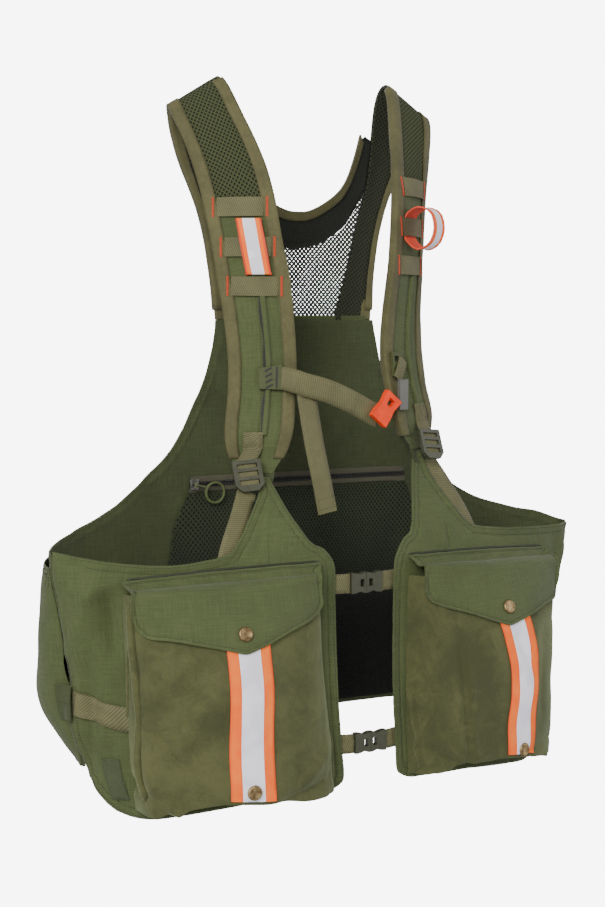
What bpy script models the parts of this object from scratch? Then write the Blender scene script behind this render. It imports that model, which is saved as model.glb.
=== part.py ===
"""Hunting vest with padded shoulder straps, two bellows pockets and a game bag behind.

The vest is filled out as if worn, with no wearer. The wearer faces -Y, so the wearer's
right is -X. The origin lies midway between the shoulder straps, level with their crests.
Tables and sizes are in millimetres and become metres when a mesh is made. Heights are
measured down from the crests, so they are negative.
"""
import bisect
import math

import bpy
import numpy as np
from mathutils import Matrix, Vector

MM = 0.001
SIDES = (("right", -1), ("left", 1))

# Cloth walls and the gap between pieces that touch
PANEL_WALL = 1.6
BAG_WALL = 1.2
MESH_WALL = 1.0
NET_WALL = 1.2
SUEDE_WALL = 1.6
FLAP_WALL = 2.0
TAPE_WALL = 1.0
WEB_WALL = 1.5
STRAP_WALL = 5.0
BINDING_WALL = 1.0
GAP = 0.3
LAYER_GAP = 0.6

# Webbing and hardware
WEB_WIDTH = 25.0
BAR_WIDTH = 20.0
LOOP_WIDTH = 25.0
SNAP_RADIUS = 7.4
FRONT_CURVE = 1.8
BACK_CURVE = 2.4
CENTRE_EDGE = 36.0


class Table:
    """Rows of sizes under named columns, read along a smooth or a straight line."""

    def __init__(self, columns, rows, smooth=True):
        ordered = sorted(rows)
        self.keys = [row[0] for row in ordered]
        self.values = {name: [row[i] for row in ordered] for i, name in enumerate(columns)}
        self.smooth = smooth

    def slope(self, name, i):
        if not self.smooth:
            return None
        low = max(i - 1, 0)
        high = min(i + 1, len(self.keys) - 1)
        column = self.values[name]
        return (column[high] - column[low]) / (self.keys[high] - self.keys[low])

    def at(self, key, name):
        column = self.values[name]
        if key <= self.keys[0]:
            return column[0]
        if key >= self.keys[-1]:
            return column[-1]
        i = bisect.bisect_right(self.keys, key) - 1
        span = self.keys[i + 1] - self.keys[i]
        t = (key - self.keys[i]) / span
        if not self.smooth:
            return column[i] + (column[i + 1] - column[i]) * t
        rise0 = self.slope(name, i) * span
        rise1 = self.slope(name, i + 1) * span
        return ((2 * t ** 3 - 3 * t ** 2 + 1) * column[i] + (t ** 3 - 2 * t ** 2 + t) * rise0
                + (3 * t ** 2 - 2 * t ** 3) * column[i + 1] + (t ** 3 - t ** 2) * rise1)

    def point(self, key, names):
        return np.array([self.at(key, name) for name in names])


# Rings of the body: where its middle, sides, front and back lie at each height
BODY = Table(("z", "middle", "half_width", "y_side", "y_front", "y_back"), (
    (-240, 0, 250, -18, -60, 13),
    (-330, 0, 268, -34, -78, 10),
    (-400, 0, 288, -50, -96, 8),
    (-487, 0, 312, -67, -138, 7),
    (-540, -4, 302, -67, -147, 7),
    (-600, -5, 291, -66, -150, 8),
    (-650, -6, 283, -66, -155, 9),
    (-703, -5, 276, -69, -160, 9),
    (-750, -4, 264, -76, -164, 8),
))

# Largest folds in the cloth: a soft ridge (height over 0) or trough along a slanted line
FOLDS = {
    "front": Table(("row", "x", "z", "long", "wide", "height", "slant"), (
        (0, 262, -545, 60, 16, 2.6, 78),
        (1, 235, -505, 34, 14, -2.0, 20),
        (2, 120, -490, 30, 12, 1.8, -35),
        (3, 268, -672, 34, 12, 2.4, 60),
    ), smooth=False),
    "back": Table(("row", "x", "z", "long", "wide", "height", "slant"), (
        (0, 150, -470, 70, 26, 3.4, 55),
        (1, -168, -455, 62, 24, 3.0, -50),
        (2, 70, -580, 90, 28, -3.2, 82),
        (3, -60, -620, 80, 30, 2.6, 96),
        (4, -20, -335, 66, 30, -2.4, 70),
        (5, 236, -560, 80, 26, 3.0, 84),
        (6, -240, -590, 76, 26, 2.8, 96),
    ), smooth=False),
    "bag": Table(("row", "x", "z", "long", "wide", "height", "slant"), (
        (0, 130, -560, 90, 24, 5.0, 66),
        (1, -120, -590, 84, 26, 5.5, 112),
        (2, 20, -640, 110, 22, -5.0, 8),
        (3, -250, -590, 60, 20, 4.5, 74),
        (4, 250, -600, 60, 22, 4.0, 104),
        (5, -30, -510, 80, 24, -4.0, 84),
    ), smooth=False),
}


def fold_height(kind, x, z):
    """Height of the cloth over its ring at a place, from the folds that reach it."""
    table = FOLDS[kind]
    total = 0.0
    for row in table.keys:
        slant = math.radians(table.at(row, "slant"))
        dx = x - table.at(row, "x")
        dz = z - table.at(row, "z")
        along = (dx * math.cos(slant) + dz * math.sin(slant)) / table.at(row, "long")
        across = (dz * math.cos(slant) - dx * math.sin(slant)) / table.at(row, "wide")
        total += table.at(row, "height") * math.exp(-along ** 2 - across ** 2)
    return total


def body_xy(z, angle, back):
    """Place on the body's ring: angle 0 is the middle of the front or back, 90 the side."""
    power = 2.0 / (BACK_CURVE if back else FRONT_CURVE)
    half = BODY.at(z, "half_width")
    y_side = BODY.at(z, "y_side")
    y_end = BODY.at(z, "y_back" if back else "y_front")
    x = half * math.sin(angle) ** power
    y = y_side + (y_end - y_side) * max(math.cos(angle), 0.0) ** power
    return x, y


def angle_of(z, x, back):
    curve = BACK_CURVE if back else FRONT_CURVE
    part = min(1.0, abs(x) / BODY.at(z, "half_width"))
    return math.asin(part ** (curve / 2.0))


def ring_point(side, z, angle, back):
    """Point of the panel cloth, pushed out by its folds."""
    angle = min(max(angle, 0.0), math.pi / 2)
    x, y = body_xy(z, angle, back)
    kind = "back" if back else "front"
    fold = fold_height(kind, side * x if back else x, z)
    x_next, y_next = body_xy(z, min(angle + 0.02, math.pi / 2), back)
    x_last, y_last = body_xy(z, max(angle - 0.02, 0.0), back)
    out = np.array([abs(y_next - y_last), (x_next - x_last) * (1 if back else -1)])
    out = out / max(np.linalg.norm(out), 1e-9)
    middle = BODY.at(z, "middle")
    return np.array([middle + side * (x + out[0] * fold), y + out[1] * fold, z])


def front_at(side, x, z):
    return ring_point(side, z, angle_of(z, x, False), False)


def slopes(surface, u, v, step=0.004):
    """Tangents and the normal of a surface given by u and v."""
    along_u = surface(u + step, v) - surface(u - step, v)
    along_v = surface(u, v + step) - surface(u, v - step)
    normal = np.cross(along_u, along_v)
    length = np.linalg.norm(normal)
    return along_u, along_v, normal / max(length, 1e-9)


def unit(vector):
    return np.asarray(vector, float) / np.linalg.norm(vector)


def new_material(name, colour, roughness, metallic=0.0):
    material = bpy.data.materials.get(name)
    if material:
        return material
    material = bpy.data.materials.new(name)
    material.use_nodes = True
    shader = material.node_tree.nodes["Principled BSDF"]
    shader.inputs["Base Color"].default_value = (*colour, 1.0)
    shader.inputs["Roughness"].default_value = roughness
    shader.inputs["Metallic"].default_value = metallic
    return material


FINISHES = {
    "ripstop": ((0.10, 0.15, 0.06), 0.8, 0.0),
    "suede": ((0.09, 0.12, 0.04), 0.95, 0.0),
    "mesh": ((0.035, 0.05, 0.03), 0.9, 0.0),
    "webbing": ((0.16, 0.17, 0.08), 0.75, 0.0),
    "binding": ((0.13, 0.13, 0.06), 0.8, 0.0),
    "hivis": ((0.85, 0.25, 0.08), 0.5, 0.0),
    "brass": ((0.45, 0.32, 0.13), 0.35, 1.0),
    "plastic": ((0.10, 0.12, 0.06), 0.45, 0.0),
    "orange_plastic": ((0.80, 0.12, 0.03), 0.4, 0.0),
    "grey_plastic": ((0.09, 0.10, 0.08), 0.45, 0.0),
    "zip_cloth": ((0.10, 0.09, 0.06), 0.8, 0.0),
    "zip_metal": ((0.25, 0.25, 0.24), 0.35, 1.0),
    "puller": ((0.15, 0.22, 0.06), 0.5, 0.0),
    "label": ((0.10, 0.12, 0.05), 0.7, 0.0),
}


def finish_object(name, mesh, finish, sharp=35):
    mesh.shade_smooth()
    mesh.set_sharp_from_angle(angle=math.radians(sharp))
    mesh.materials.append(new_material(finish, *FINISHES[finish]))
    item = bpy.data.objects.new(name, mesh)
    bpy.context.scene.collection.objects.link(item)
    return item


def signed_volume(points, faces):
    total = 0.0
    for face in faces:
        for i in range(1, len(face) - 1):
            total += np.dot(points[face[0]], np.cross(points[face[i]], points[face[i + 1]]))
    return total


def solid(name, points, faces, finish, sharp=35):
    """One closed body from points in millimetres, turned outward if it is inside out."""
    if signed_volume(points, faces) < 0:
        faces = [tuple(reversed(face)) for face in faces]
    mesh = bpy.data.meshes.new(name)
    mesh.from_pydata([tuple(point * MM) for point in points], [], faces)
    mesh.validate()
    return finish_object(name, mesh, finish, sharp)


def wall_between(name, inner, outer, finish, closed=False):
    """Cloth between two grids of points: rows of points, in the same order on both."""
    rows = len(inner)
    columns = len(inner[0])
    points = [np.asarray(p, float) for grid in (inner, outer) for row in grid for p in row]
    far = rows * columns
    faces = []
    across = columns if closed else columns - 1
    for j in range(across):
        k = (j + 1) % columns
        for i in range(rows - 1):
            a, b = i * columns + j, i * columns + k
            c, d = b + columns, a + columns
            faces += [(a, b, c), (a, c, d)]
            faces += [(far + a, far + c, far + b), (far + a, far + d, far + c)]
        last = (rows - 1) * columns
        faces.append((k, j, far + j, far + k))
        faces.append((last + j, last + k, far + last + k, far + last + j))
    if not closed:
        for i in range(rows - 1):
            a, d = i * columns, (i + 1) * columns
            b, c = a + columns - 1, d + columns - 1
            faces.append((a, d, far + d, far + a))
            faces.append((c, b, far + b, far + c))
    return solid(name, points, faces, finish)


def steps(count, start=0.0, end=1.0):
    return [start + (end - start) * i / count for i in range(count + 1)]


def ribbon(name, path, across, width, wall, finish, closed=False):
    """Webbing of one width along a path: across gives its sideways direction at each point."""
    path = [np.asarray(point, float) for point in path]
    inner, outer = [], []
    count = len(path)
    for i, point in enumerate(path):
        before = path[(i - 1) % count] if closed or i else path[i]
        after = path[(i + 1) % count] if closed or i < count - 1 else path[i]
        sideways = unit(across[i] if isinstance(across, list) else across)
        normal = unit(np.cross(after - before, sideways))
        edge = sideways * width / 2
        inner.append([point - edge - normal * wall / 2, point + edge - normal * wall / 2])
        outer.append([point - edge + normal * wall / 2, point + edge + normal * wall / 2])
    if not closed:
        return wall_between(name, inner, outer, finish)
    turned_inner = [[row[k] for row in inner] for k in (0, 1)]
    turned_outer = [[row[k] for row in outer] for k in (0, 1)]
    return wall_between(name, turned_inner, turned_outer, finish, closed=True)


def smooth_path(points, count):
    """Points at even steps of a smooth curve through the given ones."""
    rows = [(i, *point) for i, point in enumerate(points)]
    table = Table(("step", "x", "y", "z"), rows)
    return [table.point(i * (len(points) - 1) / count, ("x", "y", "z")) for i in range(count + 1)]


class Frame:
    """A local frame on a piece: right, up and out, about an origin."""

    def __init__(self, origin, right, out):
        self.origin = np.asarray(origin, float)
        self.out = unit(out)
        sideways = np.asarray(right, float)
        self.right = unit(sideways - self.out * np.dot(sideways, self.out))
        self.up = np.cross(self.out, self.right)

    def place(self, x, z, y):
        """x to the right, z up along the face, y out of it."""
        return self.origin + self.right * x + self.up * z + self.out * y


def pierced_plate(name, frame, xs, zs, windows, low, thick, finish, shape=None):
    """A flat moulded plate with square windows; shape may bend each (x, z) to its outline."""
    windows = set(windows)
    shape = shape or (lambda x, z: (x, z))
    kept = [(i, j) for i in range(len(xs) - 1) for j in range(len(zs) - 1) if (i, j) not in windows]
    corners = sorted({(i + a, j + b) for i, j in kept for a in (0, 1) for b in (0, 1)})
    number = {corner: k for k, corner in enumerate(corners)}
    points = []
    for depth in (low, low + thick):
        for i, j in corners:
            x, z = shape(xs[i], zs[j])
            points.append(frame.place(x, z, depth))
    second = len(corners)
    faces = []
    for i, j in kept:
        loop = [number[c] for c in ((i, j), (i + 1, j), (i + 1, j + 1), (i, j + 1))]
        faces.append(tuple(loop))
        faces.append(tuple(second + k for k in reversed(loop)))
        edges = (((i, j - 1), 0, 1), ((i + 1, j), 1, 2), ((i, j + 1), 2, 3), ((i - 1, j), 3, 0))
        for neighbour, a, b in edges:
            if neighbour not in kept:
                faces.append((loop[b], loop[a], second + loop[a], second + loop[b]))
    return solid(name, points, faces, finish)


def turned(name, frame, profile, sides, finish):
    """A round piece turned about the frame's out axis; profile rows are radius and height."""
    points, faces = [], []
    for radius, height in profile:
        for k in range(sides):
            angle = 2 * math.pi * k / sides
            points.append(frame.place(radius * math.cos(angle), radius * math.sin(angle), height))
    for i in range(len(profile) - 1):
        for k in range(sides):
            n = (k + 1) % sides
            faces.append((i * sides + k, i * sides + n, (i + 1) * sides + n, (i + 1) * sides + k))
    faces.append(tuple(reversed(range(sides))))
    faces.append(tuple((len(profile) - 1) * sides + k for k in range(sides)))
    return solid(name, points, faces, finish, sharp=30)


def body_sheet(name, surface, us, vs, low, wall, finish):
    """Cloth round the body: distances are measured away from the hollow inside."""
    inner, outer = [], []
    for v in vs:
        inner_row, outer_row = [], []
        for u in us:
            point = surface(u, v)
            normal = away_from_body(point, slopes(surface, u, v)[2])
            inner_row.append(point + normal * low)
            outer_row.append(point + normal * (low + wall))
        inner.append(inner_row)
        outer.append(outer_row)
    return wall_between(name, inner, outer, finish)


def away_from_body(point, normal):
    away = (point[0], point[1] - BODY_CENTRE_Y, 0.0)
    return normal if np.dot(away, normal) > 0 else -normal


BODY_CENTRE_Y = -60.0


# Back panel: its top edge falls from the strap ends round each armhole to the side seam

ARMHOLE = {
    -1: Table(("x", "z"), ((0, -257.8), (121, -257.8), (123, -279), (126, -301), (134, -322),
                           (143, -343), (153, -364), (164, -386), (178, -405), (198, -426),
                           (222, -445), (254, -463), (276, -472), (298, -480), (312, -487)),
              smooth=False),
    1: Table(("x", "z"), ((0, -257.8), (121, -257.8), (123, -279), (129, -318), (140, -352),
                          (155, -391), (177, -424), (196, -441), (209, -453), (223, -460),
                          (237, -466), (254, -472), (276, -478), (298, -482), (312, -490)),
             smooth=False),
}
BACK_COLUMNS = (0, 40, 80, 121, 123, 128, 137, 149, 164, 180, 198, 222, 244, 264, 281, 296, 307, 311,
                311.9, 311.999)
BACK_HEM = Table(("x", "z"), ((0, -694), (136, -693), (226, -696), (312, -703)))
BACK_ROWS = 12
WIDEST = -487.0


def on_widest(reach, back):
    """Angle on any ring for a distance from the middle along the widest one."""
    half = BODY.at(WIDEST, "half_width")
    curve = BACK_CURVE if back else FRONT_CURVE
    return math.asin(min(1.0, abs(reach) / half) ** (curve / 2.0))


def between(low, high, part):
    return low + (high - low) * part


def back_surface(u, v):
    """u runs across in millimetres along the widest ring, v from the top edge to the hem."""
    side = 1 if u >= 0 else -1
    z = between(ARMHOLE[side].at(abs(u), "z"), BACK_HEM.at(abs(u), "z"), v)
    return ring_point(side, z, on_widest(u, True), True)


def both_ways(columns):
    return [-x for x in reversed(columns[1:])] + list(columns)


def make_back_panel():
    body_sheet("back_panel", back_surface, both_ways(BACK_COLUMNS), steps(BACK_ROWS), -PANEL_WALL / 2,
               PANEL_WALL, "ripstop")


# Game bag: a second layer behind the back, sewn along its top, seams and hem, open at the sides

BAG_DEPTH = Table(("z", "depth"), ((-700, 3), (-692, 12), (-680, 25), (-658, 44), (-637, 56),
                                   (-615, 54), (-595, 48), (-575, 42), (-555, 33), (-535, 26),
                                   (-515, 18), (-495, 9), (-470, 4), (-440, 2.6)))
BAG_TOP = Table(("x", "z"), ((0, -440), (150, -448), (205, -466), (245, -481), (290, -491),
                             (312, -500)))
BAG_COLUMNS = (0, 45, 90, 134, 176, 214, 246, 270, 288, 300, 307, 311, 311.97)
BAG_SIDE_ROUND = 6.5
BAG_LEAST = PANEL_WALL / 2 + LAYER_GAP + 0.15
BAG_ROWS = 11
BAG_SLIT = {"z": -604.0, "long": 17.0, "gape": 5.0}


def bag_surface(u, v):
    side = 1 if u >= 0 else -1
    z = between(BAG_TOP.at(abs(u), "z"), BACK_HEM.at(abs(u), "z") + 0.5, v)
    angle = on_widest(u, True)
    from_seam = 1.0 - angle / on_widest(BAG_COLUMNS[-1], True)
    fullness = 1.0 - (1.0 - from_seam) ** BAG_SIDE_ROUND
    slit = BAG_SLIT["gape"] * math.exp(-((z - BAG_SLIT["z"]) / BAG_SLIT["long"]) ** 2)
    slit *= max(0.0, 1.0 - from_seam * 9.0)
    here = ring_point(side, z, angle, True)
    out = away_from_body(here, slopes(back_ring, u, z, 0.5)[2])
    depth = BAG_DEPTH.at(z, "depth") * fullness
    depth += fold_height("bag", u, z) * min(1.0, depth / 20.0)
    return here + out * (max(BAG_LEAST, depth) + slit)


def back_ring(u, z):
    return ring_point(1 if u >= 0 else -1, z, on_widest(u, True), True)


def make_game_bag():
    body_sheet("game_bag", bag_surface, both_ways(BAG_COLUMNS), steps(BAG_ROWS), 0.0,
               BAG_WALL, "ripstop")


# Inside of the back: a zip across it and spacer mesh below, on the panel's inner face

ZIP_HEIGHT = -433.0
ZIP_HALF_LENGTH = 134.0
ZIP_TAPE_HEIGHT = 17.0
ZIP_TAPE_WALL = 1.2
LINING_WIDTH = Table(("z", "half"), ((-690, 186), (-600, 178), (-516, 160), (-442, 142)))
LINING_COLUMNS = (0, 0.25, 0.5, 0.75, 0.88, 1)
INSIDE = PANEL_WALL / 2 + 1.0


def lining_surface(u, v):
    z = between(ZIP_HEIGHT - ZIP_TAPE_HEIGHT / 2 - 0.5, -688, v)
    return back_ring(u * LINING_WIDTH.at(z, "half"), z)


def zip_surface(u, v):
    z = between(ZIP_HEIGHT + ZIP_TAPE_HEIGHT / 2, ZIP_HEIGHT - ZIP_TAPE_HEIGHT / 2, v)
    return back_ring(u, z)


def make_inside():
    body_sheet("back_lining", lining_surface, both_ways(LINING_COLUMNS), steps(9),
               -INSIDE - MESH_WALL, MESH_WALL, "mesh")
    columns = both_ways((0, 40, 80, 121, ZIP_HALF_LENGTH + 7))
    body_sheet("zip_tape", zip_surface, columns, steps(1), -INSIDE - ZIP_TAPE_WALL,
               ZIP_TAPE_WALL, "zip_cloth")


# Zip slider and its ring puller, which swings on the slider's upright pin

SLIDER_X = -136.0
SLIDER_SIZE = (10.0, 11.0, 2.4)
EAR_SIZE = (3.4, 1.4, 4.2)
EAR_SPREAD = 3.2
PULL_BARREL = (1.1, 5.8)
PIN_REACH = 2.6
PULL_ARM = 14.0
RING_RADIUS = 11.0
RING_CORD = 1.4
RING_DROP = -9.5


def slider_frame():
    point = back_ring(SLIDER_X, ZIP_HEIGHT)
    normal = away_from_body(point, slopes(back_ring, SLIDER_X, ZIP_HEIGHT, 0.5)[2])
    seat = point - normal * (INSIDE + ZIP_TAPE_WALL + GAP)
    return Frame(seat, (1, 0, 0), -normal)


def pull_pin(frame):
    return frame.place(0, 0, SLIDER_SIZE[2] + PIN_REACH)


def box_mesh(frame, low, high):
    """Corner points and faces of a block in a frame, from (x, z, y) low to high."""
    points = [frame.place(x, z, y) for y in (low[2], high[2])
              for z in (low[1], high[1]) for x in (low[0], high[0])]
    faces = [(0, 1, 3, 2), (4, 6, 7, 5), (0, 4, 5, 1), (2, 3, 7, 6), (0, 2, 6, 4), (1, 5, 7, 3)]
    return points, faces


def tube_mesh(path, radius, sides, closed):
    """Round tube along a path of points; a closed path makes a ring."""
    path = [np.asarray(p, float) for p in path]
    count = len(path)
    points, faces = [], []
    for i, point in enumerate(path):
        before = path[i - 1] if closed or i else path[i]
        after = path[(i + 1) % count] if closed or i < count - 1 else path[i]
        along = unit(after - before)
        sideways = unit(np.cross(along, (0.13, 0.97, 0.21)))
        third = np.cross(along, sideways)
        for k in range(sides):
            angle = 2 * math.pi * k / sides
            points.append(point + radius * (sideways * math.cos(angle) + third * math.sin(angle)))
    for i in range(count if closed else count - 1):
        n = (i + 1) % count
        for k in range(sides):
            m = (k + 1) % sides
            faces.append((i * sides + k, i * sides + m, n * sides + m, n * sides + k))
    if not closed:
        faces.append(tuple(reversed(range(sides))))
        faces.append(tuple((count - 1) * sides + k for k in range(sides)))
    return points, faces


def fused(name, shapes, finish):
    """One body from several overlapping closed shapes."""
    items = [solid(name + "_piece" + str(i), points, faces, finish)
             for i, (points, faces) in enumerate(shapes)]
    base = items[0]
    for other in items[1:]:
        joint = base.modifiers.new("join", "BOOLEAN")
        joint.operation = "UNION"
        joint.solver = "EXACT"
        joint.object = other
    bpy.context.view_layer.update()
    graph = bpy.context.evaluated_depsgraph_get()
    mesh = bpy.data.meshes.new_from_object(base.evaluated_get(graph))
    for item in items:
        bpy.data.objects.remove(item, do_unlink=True)
    mesh.name = name
    mesh.materials.clear()
    return finish_object(name, mesh, finish, sharp=30)


def set_origin(item, point):
    """Move an object's origin to a point without moving its surface."""
    place = Vector([float(c) * MM for c in point])
    item.data.transform(Matrix.Translation(-place))
    item.location = place


def make_zip_hardware():
    frame = slider_frame()
    wide, tall, thick = SLIDER_SIZE
    shapes = [box_mesh(frame, (-wide / 2, -tall / 2, 0), (wide / 2, tall / 2, thick))]
    for end in (-1, 1):
        middle = end * (EAR_SPREAD + EAR_SIZE[1] / 2)
        shapes.append(box_mesh(frame, (-EAR_SIZE[0] / 2, middle - EAR_SIZE[1] / 2, thick - 0.5),
                               (EAR_SIZE[0] / 2, middle + EAR_SIZE[1] / 2, thick + EAR_SIZE[2])))
    fused("zip_slider", shapes, "zip_metal")
    pin = pull_pin(frame)
    upright = np.array([0.0, 0.0, 1.0])
    half = PULL_BARREL[1] / 2
    barrel = tube_mesh([pin - upright * half, pin + upright * half], PULL_BARREL[0], 10, False)
    ring_out = frame.right
    arm_end = pin + ring_out * PULL_ARM + upright * (RING_DROP * 0.35)
    arm = tube_mesh([pin, arm_end], 1.0, 8, False)
    centre = pin + ring_out * (PULL_ARM + RING_RADIUS * 0.86) + upright * RING_DROP
    circle = []
    for k in range(20):
        angle = 2 * math.pi * k / 20
        circle.append(centre + RING_RADIUS * (ring_out * math.cos(angle) + upright * math.sin(angle)))
    ring = tube_mesh(circle, RING_CORD, 6, True)
    pull = fused("zip_pull", [barrel, arm, ring], "puller")
    set_origin(pull, pin)


# Shoulder straps: padded, from a narrow front end over the shoulder down to the back panel

EDGES = ("inner_x", "inner_y", "inner_z", "outer_x", "outer_y", "outer_z")
STRAP = Table(("step",) + EDGES + ("crown",), (
    (0, 84, -94, -415.5, 110, -81, -415.5, 1),
    (1, 73, -94, -400, 119, -71, -400, 2),
    (2, 64, -97, -374, 123, -68, -374, 3),
    (3, 58, -91, -340, 118, -64, -340, 3),
    (4, 54, -86, -300, 115, -60, -300, 3),
    (5, 57, -86, -250, 117, -53, -250, 3),
    (6, 62, -87, -210, 122, -48, -210, 3),
    (7, 68, -83, -175, 126, -44, -175, 3),
    (8, 75, -74, -120, 135, -35, -120, 3),
    (9, 83, -58, -80, 144, -26, -84, 2.5),
    (10, 91, -41, -49, 152, -17, -58, 1.5),
    (11, 99, -23, -17, 156, -9, -42, 0.6),
    (12, 102, -9, -5, 155, -1.5, -37, 0.4),
    (13, 101, 3, -8, 151, 7, -43, 0.6),
    (14, 99, 10, -28, 145, 14, -62, 1),
    (15, 97, 14, -68, 135, 17, -90, 1.5),
    (16, 92, 15, -108, 121, 19, -120, 1.5),
    (17, 80, 16, -152, 109, 18, -155, 1.5),
    (18, 67, 15, -203, 100, 17, -205, 1.5),
    (19, 50, 14, -257.4, 96, 14, -257.4, 1.5),
))
STRAP_END = 19.0
STRAP_RISE = {-1: 0.0, 1: 18.0}
STRAP_RISE_END = 5.0
CREST_RISE = {-1: 0.0, 1: 5.0}
CREST_STEPS = (12.0, 3.0)
STRAP_SPACING = 18.0
BINDING_SHARE = 0.18
STRAP_ACROSS = (0, BINDING_SHARE, 0.5, 1 - BINDING_SHARE, 1)
BINDING_FOOT = 1.0
BINDING_TOP = 11.6
BINDING_BACK = 18.8
FOLD_GAP = 0.6
STRAP_HALF = STRAP_WALL / 2
BAR_HEIGHTS = {
    -1: (("top", -142.0), ("middle", -183.0), ("low", -223.0)),
    1: (("top", -115.0), ("middle", -158.0), ("low", -199.0)),
}
BAR_LOW = STRAP_HALF + FOLD_GAP + BINDING_WALL + GAP + 0.1


def strap_surface(side, step, across):
    """Middle of the strap: across is 0 at the neck edge and 1 at the shoulder edge."""
    step = min(max(step, 0.0), STRAP_END)
    inner = STRAP.point(step, EDGES[:3])
    outer = STRAP.point(step, EDGES[3:])
    point = between(inner, outer, across)
    before = STRAP.point(max(step - 0.3, 0.0), EDGES[:3])
    after = STRAP.point(min(step + 0.3, STRAP_END), EDGES[:3])
    out = unit(np.cross(outer - inner, after - before))
    point = point + out * (STRAP.at(step, "crown") * 4 * across * (1 - across))
    point[2] += CREST_RISE[side] * math.exp(-((step - CREST_STEPS[0]) / CREST_STEPS[1]) ** 2)
    point[2] += STRAP_RISE[side] * min(1.0, max(0.0, (STRAP_RISE_END - step) / (STRAP_RISE_END - 1)))
    return point * np.array([side, 1, 1])


def strap_point(side, step, across, lift):
    """Point lifted off the strap's middle, and the strap's own directions there."""
    near = min(max(step, 0.05), STRAP_END - 0.05)
    along, sideways, normal = slopes(lambda a, b: strap_surface(side, a, b), near, across, 0.02)
    normal = normal * -side
    return strap_surface(side, step, across) + normal * lift, unit(along), unit(sideways), normal


def strap_step(side, z, low=0.0, high=11.0):
    """Step up the front of the strap whose middle lies at a height."""
    for _ in range(40):
        middle = (low + high) / 2
        if strap_surface(side, middle, 0.5)[2] < z:
            low = middle
        else:
            high = middle
    return (low + high) / 2


def strap_along(side, step, distance, parts=8):
    """Step reached by going a distance along the strap's middle."""
    for _ in range(parts):
        ahead = strap_surface(side, step + 0.05, 0.5) - strap_surface(side, step - 0.05, 0.5)
        step += distance / parts / (np.linalg.norm(ahead) / 0.1)
    return step


def bar_steps(side, height):
    middle = strap_step(side, height)
    return [strap_along(side, middle, d) for d in (-BAR_WIDTH / 2, 0.0, BAR_WIDTH / 2)]


def strap_stations(side):
    """Steps along the strap, with one at each end of every bar and binding."""
    marks = [0.0, BINDING_FOOT, BINDING_TOP, BINDING_BACK, STRAP_END]
    for _, height in BAR_HEIGHTS[side]:
        marks += bar_steps(side, height)
    marks = sorted(marks)
    stations = [marks[0]]
    for first, last in zip(marks, marks[1:]):
        path = [strap_surface(side, step, 0.5) for step in steps(20, first, last)]
        long = sum(np.linalg.norm(b - a) for a, b in zip(path, path[1:]))
        stations += steps(max(1, round(long / STRAP_SPACING)), first, last)[1:]
    return stations


def edge_binding(name, sections, finish, edge_first):
    """Folded tape round a cloth edge: eight points a section, swept along it."""
    points = [point for section in sections for point in section]
    size = 8
    faces = []
    for i in range(len(sections) - 1):
        for k in range(size):
            n = (k + 1) % size
            a, b = i * size + k, i * size + n
            c, d = b + size, a + size
            if (k in INSIDE_POINTS) != edge_first:
                faces += [(a, b, c), (a, c, d)]
            else:
                faces += [(a, b, d), (b, c, d)]
    last = (len(sections) - 1) * size
    for a, b, c, d in ((0, 1, 6, 7), (1, 2, 5, 6), (2, 3, 4, 5)):
        faces.append((d, c, b, a))
        faces.append((last + a, last + b, last + c, last + d))
    return solid(name, points, faces, finish)


INSIDE_POINTS = (0, 3, 4, 7)


def folded_section(edge, outward, edge_normal, inside, inside_normal, half):
    """Eight points of a tape folded round an edge and reaching in to a second point."""
    near, far = half + FOLD_GAP, half + FOLD_GAP + BINDING_WALL
    back = edge + outward * FOLD_GAP
    front = edge + outward * (FOLD_GAP + BINDING_WALL)
    return [inside + inside_normal * far, front + edge_normal * far, front - edge_normal * far,
            inside - inside_normal * far, inside - inside_normal * near, back - edge_normal * near,
            back + edge_normal * near, inside + inside_normal * near]


def strap_binding(name, side, across, first, last):
    sections = []
    reach = BINDING_SHARE - 0.004
    inside_across = reach if across < 0.5 else 1 - reach
    for step in strap_stations(side):
        if first <= step <= last:
            edge, _, sideways, normal = strap_point(side, step, across, 0.0)
            inside, _, _, inside_normal = strap_point(side, step, inside_across, 0.0)
            outward = sideways * (-1 if across < 0.5 else 1)
            sections.append(folded_section(edge, outward, normal, inside, inside_normal, STRAP_HALF))
    edge_binding(name, sections, "binding", across < 0.5)


def make_straps():
    for word, side in SIDES:
        inner, outer = [], []
        for step in strap_stations(side):
            inner.append([strap_point(side, step, a, -STRAP_HALF)[0] for a in STRAP_ACROSS])
            outer.append([strap_point(side, step, a, STRAP_HALF)[0] for a in STRAP_ACROSS])
        wall_between("strap_" + word, inner, outer, "mesh")
        strap_binding("strap_binding_outer_" + word, side, 1.0, BINDING_FOOT, BINDING_BACK)
        strap_binding("strap_binding_inner_" + word, side, 0.0, BINDING_FOOT, BINDING_TOP)


# Yoke and net between the straps at the upper back

YOKE = Table(("step", "neck_x", "neck_y", "neck_z", "low_x", "low_y", "low_z"), (
    (0, 0, 8, -141, 0, 16, -177),
    (1, 15, 8, -139.5, 17, 16, -175),
    (2, 31, 8, -132.5, 36, 16, -170.5),
    (3, 46, 8.5, -123, 52, 16, -162),
    (4, 60, 10, -110, 66, 16, -151),
    (5, 70, 11, -92, 78, 16, -132),
    (6, 78, 12, -71, 90, 15.5, -109),
    (7, 85, 12, -46, 94, 14.5, -76),
    (8, 90.5, 10.5, -26, 96, 12.2, -42),
))
YOKE_END = 7.5
YOKE_SPACING = 0.75
NECK_BINDING_END = 7.4
NECK_BINDING_WIDTH = 9.0
NET_END = 6
NET_FOOT = (0.0, 14.0, -257.4)
STRAP_CLEAR = 1.2


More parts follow.
